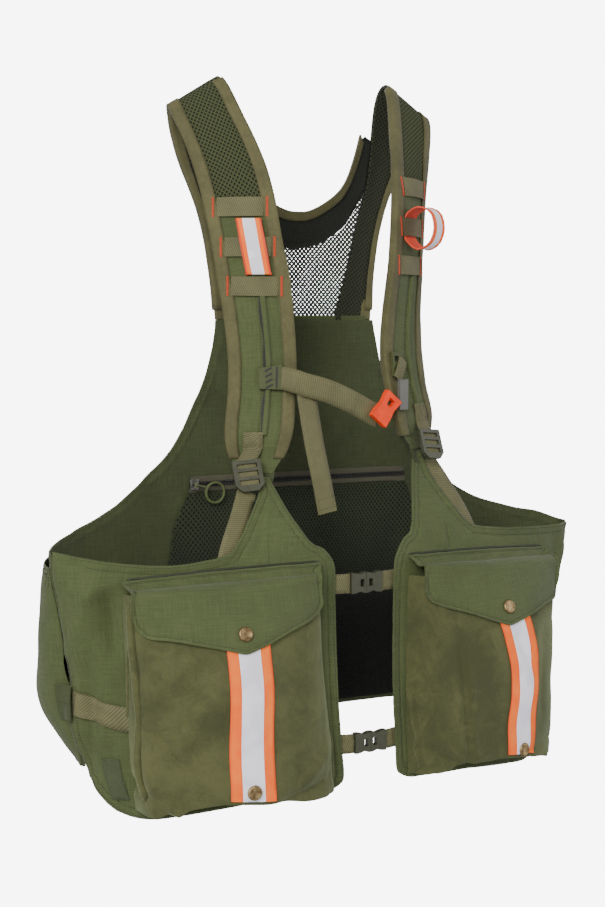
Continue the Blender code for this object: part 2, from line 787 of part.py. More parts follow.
def strap_inner_at(z):
    """Neck-side edge of the strap's back stretch at a height."""
    low, high = 13.0, float(STRAP_END)
    for _ in range(40):
        middle = (low + high) / 2
        if STRAP.at(middle, "inner_z") > z:
            low = middle
        else:
            high = middle
    return STRAP.point((low + high) / 2, EDGES[:3])


def yoke_edge(step):
    """Lower edge of the yoke, kept clear of the strap's edge."""
    point = YOKE.point(step, ("low_x", "low_y", "low_z"))
    strap = strap_inner_at(point[2])
    if step >= NET_END - 0.5:
        point[0] = strap[0] - STRAP_CLEAR
        point[1] = strap[1]
    return point


def yoke_surface(u, v):
    side = -1 if u < 0 else 1
    step = min(abs(u), YOKE_END)
    neck = YOKE.point(step, ("neck_x", "neck_y", "neck_z"))
    return between(neck, yoke_edge(step), v) * np.array([side, 1, 1])


def net_surface(u, v):
    """Net from just under the yoke to the back panel, between the two straps."""
    side = -1 if u < 0 else 1
    step = min(abs(u), NET_END)
    top = yoke_edge(step) + np.array([0.0, 0.0, -0.9])
    share = top[0] / yoke_edge(NET_END)[0]
    z = between(top[2], NET_FOOT[2], v)
    edge = strap_inner_at(z)
    foot_x = share * (strap_inner_at(NET_FOOT[2])[0] - STRAP_CLEAR)
    x = between(top[0], foot_x, v)
    if share > 0.999:
        x = edge[0] - STRAP_CLEAR
    y = between(top[1], NET_FOOT[1], v)
    return np.array([side * x, y, z])


def yoke_sheet(name, surface, us, vs, wall, finish):
    inner, outer = [], []
    for v in vs:
        inner.append([surface(u, v) - np.array([0, wall / 2, 0]) for u in us])
        outer.append([surface(u, v) + np.array([0, wall / 2, 0]) for u in us])
    return wall_between(name, inner, outer, finish)


def make_yoke():
    across = steps(round(2 * YOKE_END / YOKE_SPACING), -YOKE_END, YOKE_END)
    yoke_sheet("neck_yoke", yoke_surface, across, steps(2), MESH_WALL, "mesh")
    net_across = [u for u in across if abs(u) < NET_END + 0.1]
    yoke_sheet("yoke_net", net_surface, net_across, steps(5), NET_WALL, "mesh")
    sections = []
    for u in across:
        if abs(u) > NECK_BINDING_END:
            continue
        edge = yoke_surface(u, 0.0)
        inward = yoke_surface(u, 0.1) - edge
        along = unit(yoke_surface(u + 0.05, 0.0) - yoke_surface(u - 0.05, 0.0))
        inward = unit(inward - along * np.dot(inward, along))
        deep = np.linalg.norm(yoke_surface(u, 1.0) - edge)
        inside = yoke_surface(u, NECK_BINDING_WIDTH / deep)
        normal = np.array([0.0, 1.0, 0.0])
        sections.append(folded_section(edge, -inward, normal, inside, normal, MESH_WALL / 2))
    edge_binding("neck_binding", sections, "binding", True)


# Webbing bars across each strap, with a marker loop on the middle one

BAR_ACROSS = (0.05, BINDING_SHARE, 0.5, 1 - BINDING_SHARE, 0.95)
LOOPS = {
    -1: ((0, 3.3), (-18, 3.3), (-26, 3.7), (-28, 5.4), (-26, 7.0), (0, 8.4), (26, 7.0), (28, 5.4),
         (26, 3.7), (18, 3.3)),
    1: ((0, 3.3), (-11, 3.4), (-19, 9), (-26, 20), (-20, 33), (-4, 38), (13, 33), (20, 19), (17, 9),
        (11, 3.4)),
}
LOOP_LEAF = 0.6
LOOP_ACROSS = {-1: 0.41, 1: 0.4}


def make_bars():
    for word, side in SIDES:
        for label, height in BAR_HEIGHTS[side]:
            low, high = [], []
            for step in bar_steps(side, height):
                low.append([strap_point(side, step, a, BAR_LOW)[0] for a in BAR_ACROSS])
                high.append([strap_point(side, step, a, BAR_LOW + WEB_WALL)[0] for a in BAR_ACROSS])
            wall_between("bar_" + label + "_" + word, low, high, "webbing")
        middle = strap_step(side, BAR_HEIGHTS[side][1][1])
        path = []
        for distance, lift in closed_curve(LOOPS[side], 24):
            step = strap_along(side, middle, distance)
            path.append(strap_point(side, step, LOOP_ACROSS[side], lift)[0])
        sideways = strap_point(side, middle, LOOP_ACROSS[side], 0.0)[2]
        ribbon("marker_loop_" + word, path, sideways, LOOP_WIDTH, LOOP_LEAF, "hivis", closed=True)


def closed_curve(points, count):
    """Even points on a smooth closed curve through the given ones."""
    size = len(points)
    result = []
    for k in range(count):
        where = k * size / count
        i = int(where)
        t = where - i
        p = [np.array(points[(i + d - 1) % size], float) for d in range(4)]
        a = 2 * p[1]
        b = p[2] - p[0]
        c = 2 * p[0] - 5 * p[1] + 4 * p[2] - p[3]
        d = 3 * p[1] - p[0] - 3 * p[2] + p[3]
        result.append(0.5 * (a + b * t + c * t ** 2 + d * t ** 3))
    return result


# Front panels: each rises to a lug that meets its shoulder strap

FRONT_TOP = {
    -1: Table(("x", "z"), ((36, -514), (39, -501), (49, -489), (60, -484), (72, -467), (81, -452),
                           (90, -433), (97, -419), (106, -417), (110, -432), (122, -452), (133, -470),
                           (147, -491), (167, -494), (204, -499), (248, -496), (270, -492),
                           (297, -487), (312, -484)), smooth=False),
    1: Table(("x", "z"), ((36, -512), (39, -500), (49, -486), (60, -481), (72, -451), (81, -428),
                          (90, -410), (97, -399), (106, -398), (110, -424), (122, -450), (133, -468),
                          (147, -480), (187, -485), (249, -489), (300, -490), (312, -492)), smooth=False),
}
FRONT_HEM = Table(("x", "z"), ((36, -720), (39, -728), (49, -733), (60, -735), (147, -739),
                               (215, -746), (264, -751), (284, -749), (298, -743), (307, -731),
                               (312, -712)), smooth=False)
FRONT_COLUMNS = (36, 39, 49, 60, 72, 81, 90, 97, 106, 110, 122, 133, 147, 167, 190, 215, 240,
                 264, 284, 298, 307, 311, 311.985)
FRONT_ROWS = 11


def front_surface(side, u, v):
    z = between(FRONT_TOP[side].at(u, "z"), FRONT_HEM.at(u, "z"), v)
    return ring_point(side, z, on_widest(u, False), False)


def make_fronts():
    for word, side in SIDES:
        body_sheet("front_" + word, lambda u, v: front_surface(side, u, v), FRONT_COLUMNS,
                   steps(FRONT_ROWS), -PANEL_WALL / 2, PANEL_WALL, "ripstop")


# Bellows pockets: suede fronts on folded sides, open at the top under a flap

POCKET_EDGE = Table(("z", "inner", "outer"), ((-750, 44, 240), (-714, 45, 242), (-620, 49, 246),
                                              (-524, 53, 252)))
POCKET_DEPTH = Table(("z", "fold", "bulge"), ((-750, 26, 38), (-726, 26, 38), (-650, 26, 37),
                                              (-575, 24, 30), (-524, 17, 17)))
POCKET_FOOT = {
    -1: Table(("across", "z"), ((0, -727), (0.2, -726), (0.45, -721), (0.62, -719), (0.77, -725),
                                (0.88, -733), (1, -737))),
    1: Table(("across", "z"), ((0, -726), (0.1, -722), (0.22, -715), (0.45, -714), (0.62, -720),
                               (0.8, -726), (1, -734))),
}
POCKET_GUSSET = ((0.93, -3.5, -1.0), (0.55, -5.0, -3.0), (0.03, -5.0, -5.0))
GUSSET_LEAN = (0.2, 0.3, 0.5)
FOLD_INSET = 0.045
OUTER_FOLD_EXTRA = 6.0
POCKET_COLUMNS = (0, 0.12, 0.2, 0.28, 0.36, 0.435, 0.55, 0.665, 0.74, 0.82, 0.9, 1)
POCKET_MOUTH = -524.0
POCKET_ROWS = 8
SEAT = PANEL_WALL / 2 + GAP + 0.4


def pocket_out(side):
    """The way a pocket stands out, square to the line between its two sides."""
    z = -630.0
    inner = front_at(side, POCKET_EDGE.at(z, "inner"), z)
    outer = front_at(side, POCKET_EDGE.at(z, "outer"), z)
    chord = outer - inner
    return unit(np.array([chord[1], -chord[0], 0.0]) * side)


def pocket_base(side, across, z):
    """Point on the straight line between the pocket's two sides, just off the panel."""
    out = pocket_out(side)
    inner = front_at(side, POCKET_EDGE.at(z, "inner"), z)
    outer = front_at(side, POCKET_EDGE.at(z, "outer"), z)
    return between(inner, outer, across) + out * SEAT


def pocket_depth(across, z):
    inner_share = min(max((across - FOLD_INSET) / (1 - 2 * FOLD_INSET), 0.0), 1.0)
    bulge = math.sin(math.pi * inner_share) ** 0.8 if 0 < inner_share < 1 else 0.0
    fold = POCKET_DEPTH.at(z, "fold") + OUTER_FOLD_EXTRA * across
    return fold + POCKET_DEPTH.at(z, "bulge") * bulge


def pocket_front(side, across, z, lift=0.0):
    """Point on the face of the pocket, at a share across and a height."""
    return pocket_base(side, across, z) + pocket_out(side) * (pocket_depth(across, z) + lift)


def pocket_rows(side):
    """Outer points of the pocket: down its face, then in under its foot to the panel."""
    out = pocket_out(side)
    rows = []
    for v in steps(POCKET_ROWS):
        row = []
        for column in POCKET_COLUMNS:
            across = FOLD_INSET + column * (1 - 2 * FOLD_INSET)
            z = between(POCKET_MOUTH, POCKET_FOOT[side].at(across, "z"), v)
            row.append(pocket_front(side, across, z))
        first = between(POCKET_MOUTH, POCKET_FOOT[side].at(0.0, "z"), v)
        last = between(POCKET_MOUTH, POCKET_FOOT[side].at(1.0, "z"), v)
        row.insert(0, pocket_base(side, 0.0, first))
        row.append(pocket_base(side, 1.0, last))
        rows.append(row)
    for share, drop, side_drop in POCKET_GUSSET:
        row = []
        for column in POCKET_COLUMNS:
            across = FOLD_INSET + column * (1 - 2 * FOLD_INSET)
            z = POCKET_FOOT[side].at(across, "z") + drop
            panel = front_at(side, between(POCKET_EDGE.at(z, "inner"), POCKET_EDGE.at(z, "outer"), across), z)
            face = pocket_front(side, across, z)
            row.append(between(panel + out * SEAT, face, share))
        first = POCKET_FOOT[side].at(0.0, "z") + side_drop
        last = POCKET_FOOT[side].at(1.0, "z") + side_drop
        row.insert(0, pocket_base(side, 0.0, first))
        row.append(pocket_base(side, 1.0, last))
        rows.append(row)
    return rows


def grid_normals(rows):
    """Normals of a grid of points, each the mean of the four corners round it."""
    grid = np.array(rows)
    count, wide = grid.shape[:2]
    total = np.zeros_like(grid)
    for i in range(count - 1):
        for j in range(wide - 1):
            a, b = grid[i, j], grid[i, j + 1]
            c, d = grid[i + 1, j + 1], grid[i + 1, j]
            facing = np.cross(c - a, d - b)
            facing = facing / max(np.linalg.norm(facing), 1e-9)
            for p, q in ((i, j), (i, j + 1), (i + 1, j + 1), (i + 1, j)):
                total[p, q] += facing
    return total / np.maximum(np.linalg.norm(total, axis=2, keepdims=True), 1e-9)


def grid_wall(name, rows, wall, side, finish):
    """Cloth whose outer face is a grid of points and whose wall goes in from it."""
    normals = grid_normals(rows) * -side
    for i, row in enumerate(rows):
        for j, away in ((0, -1), (-1, 1)):
            x = abs(row[j][0] - BODY.at(row[j][2], "middle"))
            along = front_at(side, x + 2, row[j][2]) - front_at(side, x - 2, row[j][2])
            down = GUSSET_LEAN[i - POCKET_ROWS - 1] if i > POCKET_ROWS else 0.0
            normals[i, j] = unit(unit(along) * away + np.array([0.0, 0.0, -down]))
    outer = [[np.asarray(p) for p in row] for row in rows]
    inner = [[p - normals[i, j] * wall for j, p in enumerate(row)] for i, row in enumerate(outer)]
    return wall_between(name, inner, outer, finish)


def make_pockets():
    for word, side in SIDES:
        grid_wall("pocket_" + word, pocket_rows(side), SUEDE_WALL, side, "suede")


# Flaps over the pockets, with a slightly pointed lower edge

FLAP_SEAM = Table(("across", "z"), ((0, -505), (0.5, -507), (1, -514)))
FLAP_FOOT = Table(("across", "z"), ((0, -541), (0.03, -550), (0.1, -556), (0.22, -563), (0.35, -573),
                                    (0.455, -579), (0.58, -573), (0.76, -566), (0.93, -562),
                                    (0.98, -554), (1, -541)), smooth=False)
FLAP_COLUMNS = (0, 0.03, 0.1, 0.16, 0.25, 0.35, 0.405, 0.455, 0.51, 0.58, 0.67, 0.76, 0.85, 0.93, 0.98, 1)
FLAP_ROWS = 7
FLAP_TURN = 0.22
FLAP_LIFT = 2.4
FLAP_SPREAD = (-0.006, 1.012)


def flap_surface(side, u, v):
    """From the seam on the panel out over the pocket's mouth and down its face."""
    across = between(FLAP_SPREAD[0], FLAP_SPREAD[1], u)
    z = between(FLAP_SEAM.at(u, "z"), FLAP_FOOT.at(u, "z"), v)
    x = between(POCKET_EDGE.at(z, "inner"), POCKET_EDGE.at(z, "outer"), across)
    out = pocket_out(side)
    panel = front_at(side, x, z) + out * (SEAT + 0.2)
    inset = FOLD_INSET * 0.4
    folded = between(inset, 1 - inset, u)
    over = pocket_base(side, folded, z) + out * (pocket_depth(folded, z) + FLAP_LIFT)
    turn = min(1.0, v / FLAP_TURN)
    turn = turn * turn * (3 - 2 * turn)
    return between(panel, over, turn)


def make_flaps():
    for word, side in SIDES:
        rows = [[flap_surface(side, u, v) for u in FLAP_COLUMNS] for v in flap_shares()]
        normals = grid_normals(rows) * -side
        outer = [[p + normals[i, j] * FLAP_WALL for j, p in enumerate(row)]
                 for i, row in enumerate(rows)]
        wall_between("flap_" + word, rows, outer, "ripstop")


def flap_shares():
    return [0.0, FLAP_TURN * 0.35, FLAP_TURN * 0.7] + steps(FLAP_ROWS - 3, FLAP_TURN, 1.0)


# Marker tape down each pocket, and a snap on the flap and on the tape's foot

TAPE_HALF = 0.122
TAPE_MIDDLE = {-1: 0.44, 1: 0.505}
TAPE_DRIFT = {-1: 0.035, 1: 0.03}
TAPE_LIFT = 1.1
SNAP_PROFILE = ((SNAP_RADIUS, 0.0), (SNAP_RADIUS, 1.2), (6.6, 1.9), (4.6, 2.2), (3.6, 1.8), (0.8, 1.7))
FLAP_SNAP = (0.455, 0.74)
TAPE_SNAP_HEIGHT = -711.0


def make_markers():
    for word, side in SIDES:
        out = pocket_out(side)
        low, high = [], []
        for v in steps(8):
            low_row, high_row = [], []
            for push in (-TAPE_HALF, 0.0, TAPE_HALF):
                share = TAPE_MIDDLE[side] + TAPE_DRIFT[side] * v + push
                across = FOLD_INSET + share * (1 - 2 * FOLD_INSET)
                z = between(-558.0, POCKET_FOOT[side].at(across, "z") + 0.5, v)
                low_row.append(pocket_front(side, across, z, TAPE_LIFT))
                high_row.append(pocket_front(side, across, z, TAPE_LIFT + TAPE_WALL))
            low.append(low_row)
            high.append(high_row)
        wall_between("marker_tape_" + word, low, high, "hivis")
        flap = lambda u, v: flap_surface(side, u, v)
        normal = slopes(flap, *FLAP_SNAP, 0.03)[2] * -side
        seat = flap(*FLAP_SNAP) + normal * (FLAP_WALL + GAP)
        turned("flap_snap_" + word, Frame(seat, (1, 0, 0), normal), SNAP_PROFILE, 16, "brass")
        share = TAPE_MIDDLE[side] + TAPE_DRIFT[side] * 0.9
        across = FOLD_INSET + share * (1 - 2 * FOLD_INSET)
        face = lambda u, v: pocket_front(side, u, v, TAPE_LIFT + TAPE_WALL)
        normal = slopes(face, across, TAPE_SNAP_HEIGHT, 0.01)[2]
        normal = normal if np.dot(normal, out) > 0 else -normal
        seat = face(across, TAPE_SNAP_HEIGHT) + normal * (GAP + 0.3)
        turned("tape_snap_" + word, Frame(seat, (1, 0, 0), normal), SNAP_PROFILE, 16, "brass")


# Ladder locks that join the straps to the lugs, with their webbing

LADDER = {-1: (-114.0, -98.0, -417.0), 1: (105.5, -96.5, -393.0)}
LADDER_XS = (-15, -10.5, 10.5, 15)
LADDER_ZS = (-16.5, -10, -4.5, -1, 4.5, 8, 12.5, 16.5)
LADDER_WINDOWS = ((1, 1), (1, 3), (1, 5))
LADDER_THICK = 4.0
LADDER_SEAT = 2.0
LADDER_LEAN = 0.42
LADDER_WEB_ACROSS = 0.58
LADDER_TAIL = {
    -1: ((117, -430, 3.8), (131, -455, 3.2), (146, -482, 3.2), (155, -512, 3.6)),
    1: ((108, -406, 3.8), (120, -430, 3.2), (134, -462, 3.2), (146, -494, 3.6)),
}


def ladder_outline(x, z):
    """Round the foot of the plate into its lifting tongue."""
    if z < -12:
        return x * 0.55, z
    return x, z


def make_ladders():
    for word, side in SIDES:
        frame = Frame(LADDER[side], (1, 0, 0), (0.25 * side, -1, LADDER_LEAN))
        pierced_plate("ladder_lock_" + word, frame, LADDER_XS, LADDER_ZS, LADDER_WINDOWS,
                      LADDER_SEAT, LADDER_THICK, "plastic", ladder_outline)
        over = STRAP_HALF + GAP + WEB_WALL / 2 + 1.3
        top = strap_step(side, LADDER[side][2] + 44)
        share = LADDER_WEB_ACROSS
        path = [strap_point(side, step, share, over)[0] for step in
                (top, strap_along(side, top, -9), strap_along(side, top, -18))]
        path.append(frame.place(0, 14, LADDER_SEAT - 1.9))
        path.append(frame.place(0, 4, LADDER_SEAT - 1.9))
        sideways = strap_point(side, top, share, 0.0)[2] * side
        turn = [between(sideways, frame.right, i / 10.0) for i in range(11)]
        ribbon("ladder_web_" + word, smooth_path(path, 10), turn, 20.0, WEB_WALL, "webbing")
        tail = []
        for x, z, behind in LADDER_TAIL[side]:
            surface = lambda a, b: front_at(side, a, b)
            point = surface(x, z)
            normal = away_from_body(point, slopes(surface, x, z, 0.5)[2])
            tail.append(point - normal * behind)
        along = unit(tail[-1] - tail[0])
        ribbon("ladder_tail_" + word, smooth_path(tail, 8), unit(np.cross(along, normal)),
               WEB_WIDTH - 5, WEB_WALL, "webbing")


# Chest strap: slider on each strap rail, webbing, its hanging tail and a two-part buckle

CHEST_PATH = ((-62, -99.6, -320), (-50, -102.6, -324), (-22, -105, -332), (8, -105, -345), (28, -103.2, -355), (38, -102.0, -359))
TAIL_PATH = ((-48, -99.0, -318), (-46, -99.8, -340), (-40, -104, -385), (-32, -106, -425), (-25, -106, -458))
CHEST_WIDTH = 24.0
TAIL_WIDTH = 22.0
SLIDER_XS = (-13, -8.5, 8.5, 13)
SLIDER_ZS = (-13, -9, -3, 3, 9, 13)
SLIDER_WINDOWS = ((1, 1), (1, 3))
SLIDER_THICK = 3.0
CHEST_SOCKET = {"foot": (34, -107, -364), "head": (55, -106, -338), "wide": 22.0, "thick": 7.0}
CHEST_PRONG = {"middle": (69.6, -101.1, -337), "size": (12.0, 32.0, 4.0)}
CHEST_SLIDER = {
    -1: {"z": -318.0, "across": 0.38, "size": 1.0, "low": 4.6},
    1: {"z": -306.0, "across": 0.2, "size": 0.62, "low": 5.1},
}


def slider_frame_on(side):
    spec = CHEST_SLIDER[side]
    point, _, _, normal = strap_point(side, strap_step(side, spec["z"]), spec["across"], spec["low"])
    return Frame(point, (1, 0, 0), normal)


def slider_plate(name, side):
    xs = [x * CHEST_SLIDER[side]["size"] for x in SLIDER_XS]
    pierced_plate(name, slider_frame_on(side), xs, SLIDER_ZS, SLIDER_WINDOWS, 0.0, SLIDER_THICK, "plastic")


def make_chest_strap():
    slider_plate("chest_slider_right", -1)
    slider_plate("chest_slider_left", 1)
    seat = slider_frame_on(-1)
    above = SLIDER_THICK + GAP + 0.1 + WEB_WALL / 2
    start = [seat.place(-5, 0, above), seat.place(6, -1, above)]
    path = smooth_path(start + [np.array(p, float) for p in CHEST_PATH], 14)
    lean = unit(path[-1] - path[0])
    upright = unit(np.cross((0.0, -1.0, 0.0), lean))
    turn = [between(seat.up, upright, min(1.0, i / 4.0)) for i in range(15)]
    ribbon("chest_web", path, turn, CHEST_WIDTH, WEB_WALL, "webbing")
    ribbon("chest_tail", smooth_path(TAIL_PATH, 12), (0.98, 0.0, 0.17), TAIL_WIDTH, WEB_WALL, "webbing")
    foot = np.array(CHEST_SOCKET["foot"], float)
    head = np.array(CHEST_SOCKET["head"], float)
    along = unit(head - foot)
    frame = Frame((foot + head) / 2, along, (0.1, -1.0, 0.0))
    half = np.linalg.norm(head - foot) / 2
    buckle_body("chest_socket", frame, half, CHEST_SOCKET["wide"], CHEST_SOCKET["thick"],
                "orange_plastic")
    middle = np.array(CHEST_PRONG["middle"], float)
    wide, tall, thick = CHEST_PRONG["size"]
    plate = Frame(middle, (1, 0.2, 0), (0.2, -1.0, 0.0))
    pierced_plate("chest_prong", plate, (-wide / 2, wide / 2), (-tall / 2, -tall / 6, tall / 6, tall / 2),
                  (), -thick / 2, thick, "grey_plastic")


def buckle_body(name, frame, half, wide, thick, finish):
    """Half of a side-release buckle, waisted where the fingers press."""
    xs = (-half, -half * 0.45, half * 0.2, half * 0.7, half)
    zs = (-wide / 2, -wide * 0.2, wide * 0.2, wide / 2)

    def waist(x, z):
        pinch = 1.0 - 0.18 * math.exp(-((x - half * 0.15) / (half * 0.4)) ** 2)
        return x, z * pinch

    pierced_plate(name, frame, xs, zs, ((2, 1),), -thick / 2, thick, finish, waist)


# Waist fastenings: two side-release buckles across the open front

WAIST = (("upper", -527.0, (-20.5, -2.5, 16.5)), ("lower", -691.0, (-22.5, -4.5, 14.5)))
BUCKLE_TALL = 21.5
BUCKLE_THICK = 7.0
WAIST_WEB = 20.0
TUCK = 12.0


def centre_edge_x(side, z):
    share = CENTRE_EDGE / BODY.at(WIDEST, "half_width")
    return BODY.at(z, "middle") + side * share * BODY.at(z, "half_width")


def make_waist():
    for label, z, (left, middle, right) in WAIST:
        y = front_at(1, CENTRE_EDGE, z)[1]
        frame = Frame((middle, y, z), (1, 0, 0), (0, -1, 0))
        prong_half = (middle - left) / 2 - 0.2
        socket_half = (right - middle) / 2 - 0.2
        prong = Frame(((left + middle) / 2, y, z), (1, 0, 0), (0, -1, 0))
        socket = Frame(((right + middle) / 2, y, z), (-1, 0, 0), (0, -1, 0))
        buckle_body("waist_prong_" + label, prong, prong_half, BUCKLE_TALL, BUCKLE_THICK, "plastic")
        buckle_body("waist_socket_" + label, socket, socket_half, BUCKLE_TALL, BUCKLE_THICK, "plastic")
        for word, side, end in (("right", -1, left - GAP), ("left", 1, right + GAP)):
            edge = centre_edge_x(side, z)
            surface = lambda a, b: front_at(side, a, b)
            inside = surface(CENTRE_EDGE + TUCK, z)
            normal = away_from_body(inside, slopes(surface, CENTRE_EDGE + TUCK, z, 0.5)[2])
            lean = unit(surface(CENTRE_EDGE, z + 8) - surface(CENTRE_EDGE, z - 8))
            depth = PANEL_WALL / 2 + 0.9 + WEB_WALL / 2
            path = [np.array((end, y, z)), np.array((between(end, edge, 0.6), y + 0.8, z)),
                    np.array((edge, y + depth + 0.3, z)), inside - normal * depth]
            turn = [between(np.array((0.0, 0.0, 1.0)), lean, min(1.0, i / 4.0)) for i in range(7)]
            ribbon("waist_web_" + label + "_" + word, smooth_path(path, 6), turn, WAIST_WEB,
                   WEB_WALL, "webbing")


# Side adjusters: webbing from each pocket to the side seam, with a folded tab at its end

SIDE_WEB = Table(("u", "z"), ((266, -648), (290, -645), (311, -634)))


def make_side_straps():
    for word, side in SIDES:
        low, high = [], []
        for push in (-WEB_WIDTH / 2, WEB_WIDTH / 2):
            low_row, high_row = [], []
            for u in (273, 281, 289, 298, 306, 311):
                z = SIDE_WEB.at(u, "z") + push
                surface = lambda a, b: ring_point(side, b, on_widest(a, False), False)
                point = surface(u, z)
                normal = away_from_body(point, slopes(surface, u, z, 0.3)[2])
                low_row.append(point + normal * (PANEL_WALL / 2 + GAP + 0.3))
                high_row.append(point + normal * (PANEL_WALL / 2 + GAP + 0.3 + WEB_WALL))
            low.append(low_row)
            high.append(high_row)
        wall_between("side_web_" + word, low, high, "webbing")


# Small woven label, left plain

LABEL = {"side": -1, "u": (283, 299), "z": (-731, -690), "wall": 0.8}


def make_label():
    side = LABEL["side"]
    surface = lambda a, b: ring_point(side, b, on_widest(a, False), False)
    low, high = [], []
    for z in steps(3, *LABEL["z"]):
        low_row, high_row = [], []
        for u in steps(3, *LABEL["u"]):
            point = surface(u, z)
            normal = away_from_body(point, slopes(surface, u, z, 0.3)[2])
            low_row.append(point + normal * (PANEL_WALL / 2 + GAP + 0.3))
            high_row.append(point + normal * (PANEL_WALL / 2 + GAP + 0.3 + LABEL["wall"]))
        low.append(low_row)
        high.append(high_row)
    wall_between("side_label", low, high, "label")


for old in list(bpy.data.objects):
    bpy.data.objects.remove(old, do_unlink=True)
make_back_panel()
make_game_bag()
make_inside()
make_zip_hardware()
make_straps()
make_yoke()
make_bars()
make_fronts()
make_pockets()
make_flaps()
make_markers()
make_ladders()
make_chest_strap()
make_waist()
make_side_straps()
make_label()
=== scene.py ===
import math

import bmesh
import bpy
import numpy as np
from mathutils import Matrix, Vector
from mathutils.bvhtree import BVHTree


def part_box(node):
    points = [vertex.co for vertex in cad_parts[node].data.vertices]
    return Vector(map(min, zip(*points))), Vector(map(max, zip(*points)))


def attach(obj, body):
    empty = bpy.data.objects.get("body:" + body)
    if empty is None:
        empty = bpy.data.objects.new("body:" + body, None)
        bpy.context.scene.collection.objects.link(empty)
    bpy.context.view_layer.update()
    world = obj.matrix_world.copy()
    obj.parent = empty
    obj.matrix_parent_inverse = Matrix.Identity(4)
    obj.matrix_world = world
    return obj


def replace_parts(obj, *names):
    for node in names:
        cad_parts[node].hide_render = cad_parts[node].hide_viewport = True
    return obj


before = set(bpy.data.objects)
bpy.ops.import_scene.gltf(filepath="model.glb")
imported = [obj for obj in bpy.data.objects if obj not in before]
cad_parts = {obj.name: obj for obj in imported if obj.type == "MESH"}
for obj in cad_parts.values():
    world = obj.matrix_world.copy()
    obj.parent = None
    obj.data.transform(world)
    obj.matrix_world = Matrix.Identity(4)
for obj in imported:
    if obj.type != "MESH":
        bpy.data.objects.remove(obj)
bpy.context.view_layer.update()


# Studio: the vest hangs filled out over a pale floor, lit softly from the front and both
# sides, and is seen from the wearer's right. To the camera alone, all round it is white.

VIEW_FROM = (-0.8222, -1.5312, -0.256)
VIEW_TURN, VIEW_DIP = math.radians(28.3), math.radians(4.9)
VIEW_LENS, SENSOR_WIDTH = 62.59, 36.0
FLOOR_HEIGHT, FLOOR_HALF = -1.02, 6.0
WHITE, PLAIN = 7.5, (1.0, 1.0, 1.0, 1.0)
SKY_LIGHT = 0.36
LAMPS = (
    ("key", (-2.2, -2.4, 1.25), 2.0, 127.0, (1.0, 0.985, 0.95)),
    ("fill", (2.4, -1.8, 0.3), 2.4, 34.0, (0.98, 0.98, 1.0)),
    ("back", (0.4, 2.8, 1.4), 2.4, 40.0, (1.0, 1.0, 1.0)),
    ("side", (-3.0, -0.7, 0.3), 1.6, 15.0, (1.0, 1.0, 1.0)),
)
AIM = Vector((0.0, -0.05, -0.42))


def added(name, data):
    item = bpy.data.objects.new(name, data)
    bpy.context.scene.collection.objects.link(item)
    return item


def white_to_camera(tree, lit, kind, end):
    """Show white to the camera, and the lit shader to every other ray."""
    glow = tree.nodes.new(kind)
    glow.inputs["Color"].default_value = PLAIN
    glow.inputs["Strength"].default_value = WHITE
    seen = tree.nodes.new("ShaderNodeLightPath")
    either = tree.nodes.new("ShaderNodeMixShader")
    given = (seen.outputs["Is Camera Ray"], lit.outputs[0], glow.outputs[0])
    for number, socket in enumerate(given):
        tree.links.new(socket, either.inputs[number])
    tree.links.new(either.outputs[0], tree.nodes[end].inputs[0])


def look_along(way):
    return Vector(way).to_track_quat("-Z", "Y").to_euler()


camera = added("camera", bpy.data.cameras.new("camera"))
camera.location = VIEW_FROM
camera.rotation_euler = look_along((math.sin(VIEW_TURN) * math.cos(VIEW_DIP),
                                    math.cos(VIEW_TURN) * math.cos(VIEW_DIP), -math.sin(VIEW_DIP)))
camera.data.lens, camera.data.sensor_width = VIEW_LENS, SENSOR_WIDTH
bpy.context.scene.camera = camera
for name, place, size, power, colour in LAMPS:
    lamp = added(name, bpy.data.lights.new(name, "AREA"))
    lamp.data.size, lamp.data.energy, lamp.data.color = size, power, colour
    lamp.location = place
    lamp.rotation_euler = look_along(AIM - Vector(place))
world = bpy.data.worlds.new("studio")
bpy.context.scene.world = world
world.use_nodes = True
sky = world.node_tree.nodes["Background"]
sky.inputs["Color"].default_value = PLAIN
sky.inputs["Strength"].default_value = SKY_LIGHT
white_to_camera(world.node_tree, sky, "ShaderNodeBackground", "World Output")
paper = bpy.data.materials.new("floor")
paper.use_nodes = True
matt = paper.node_tree.nodes["Principled BSDF"]
matt.inputs["Base Color"].default_value = (0.55, 0.55, 0.55, 1.0)
matt.inputs["Roughness"].default_value = 0.9
white_to_camera(paper.node_tree, matt, "ShaderNodeEmission", "Material Output")
square = bpy.data.meshes.new("floor")
square.from_pydata([(x * FLOOR_HALF, y * FLOOR_HALF, FLOOR_HEIGHT)
                    for x, y in ((-1, -1), (1, -1), (1, 1), (-1, 1))], [], [(0, 1, 2, 3)])
square.materials.append(paper)
added("floor", square)


# Back panel: one curved sheet of olive ripstop from seam to seam, with its armhole and hem
# edges turned and stitched. Its copy of the solid is made smooth and gets soft folds.

MM = 0.001
BODY_MIDDLE = np.array([0.0, -60.0, 0.0])
BODY_WIDE, BODY_DEEP = 300.0, 85.0
PANEL_WALL = 1.6
THREAD_LIFT = 0.1
OLIVE, OLIVE_DARK = (0.082, 0.105, 0.033), (0.052, 0.070, 0.020)
GRID_PITCH, YARN_PITCH = 5.0, 0.62


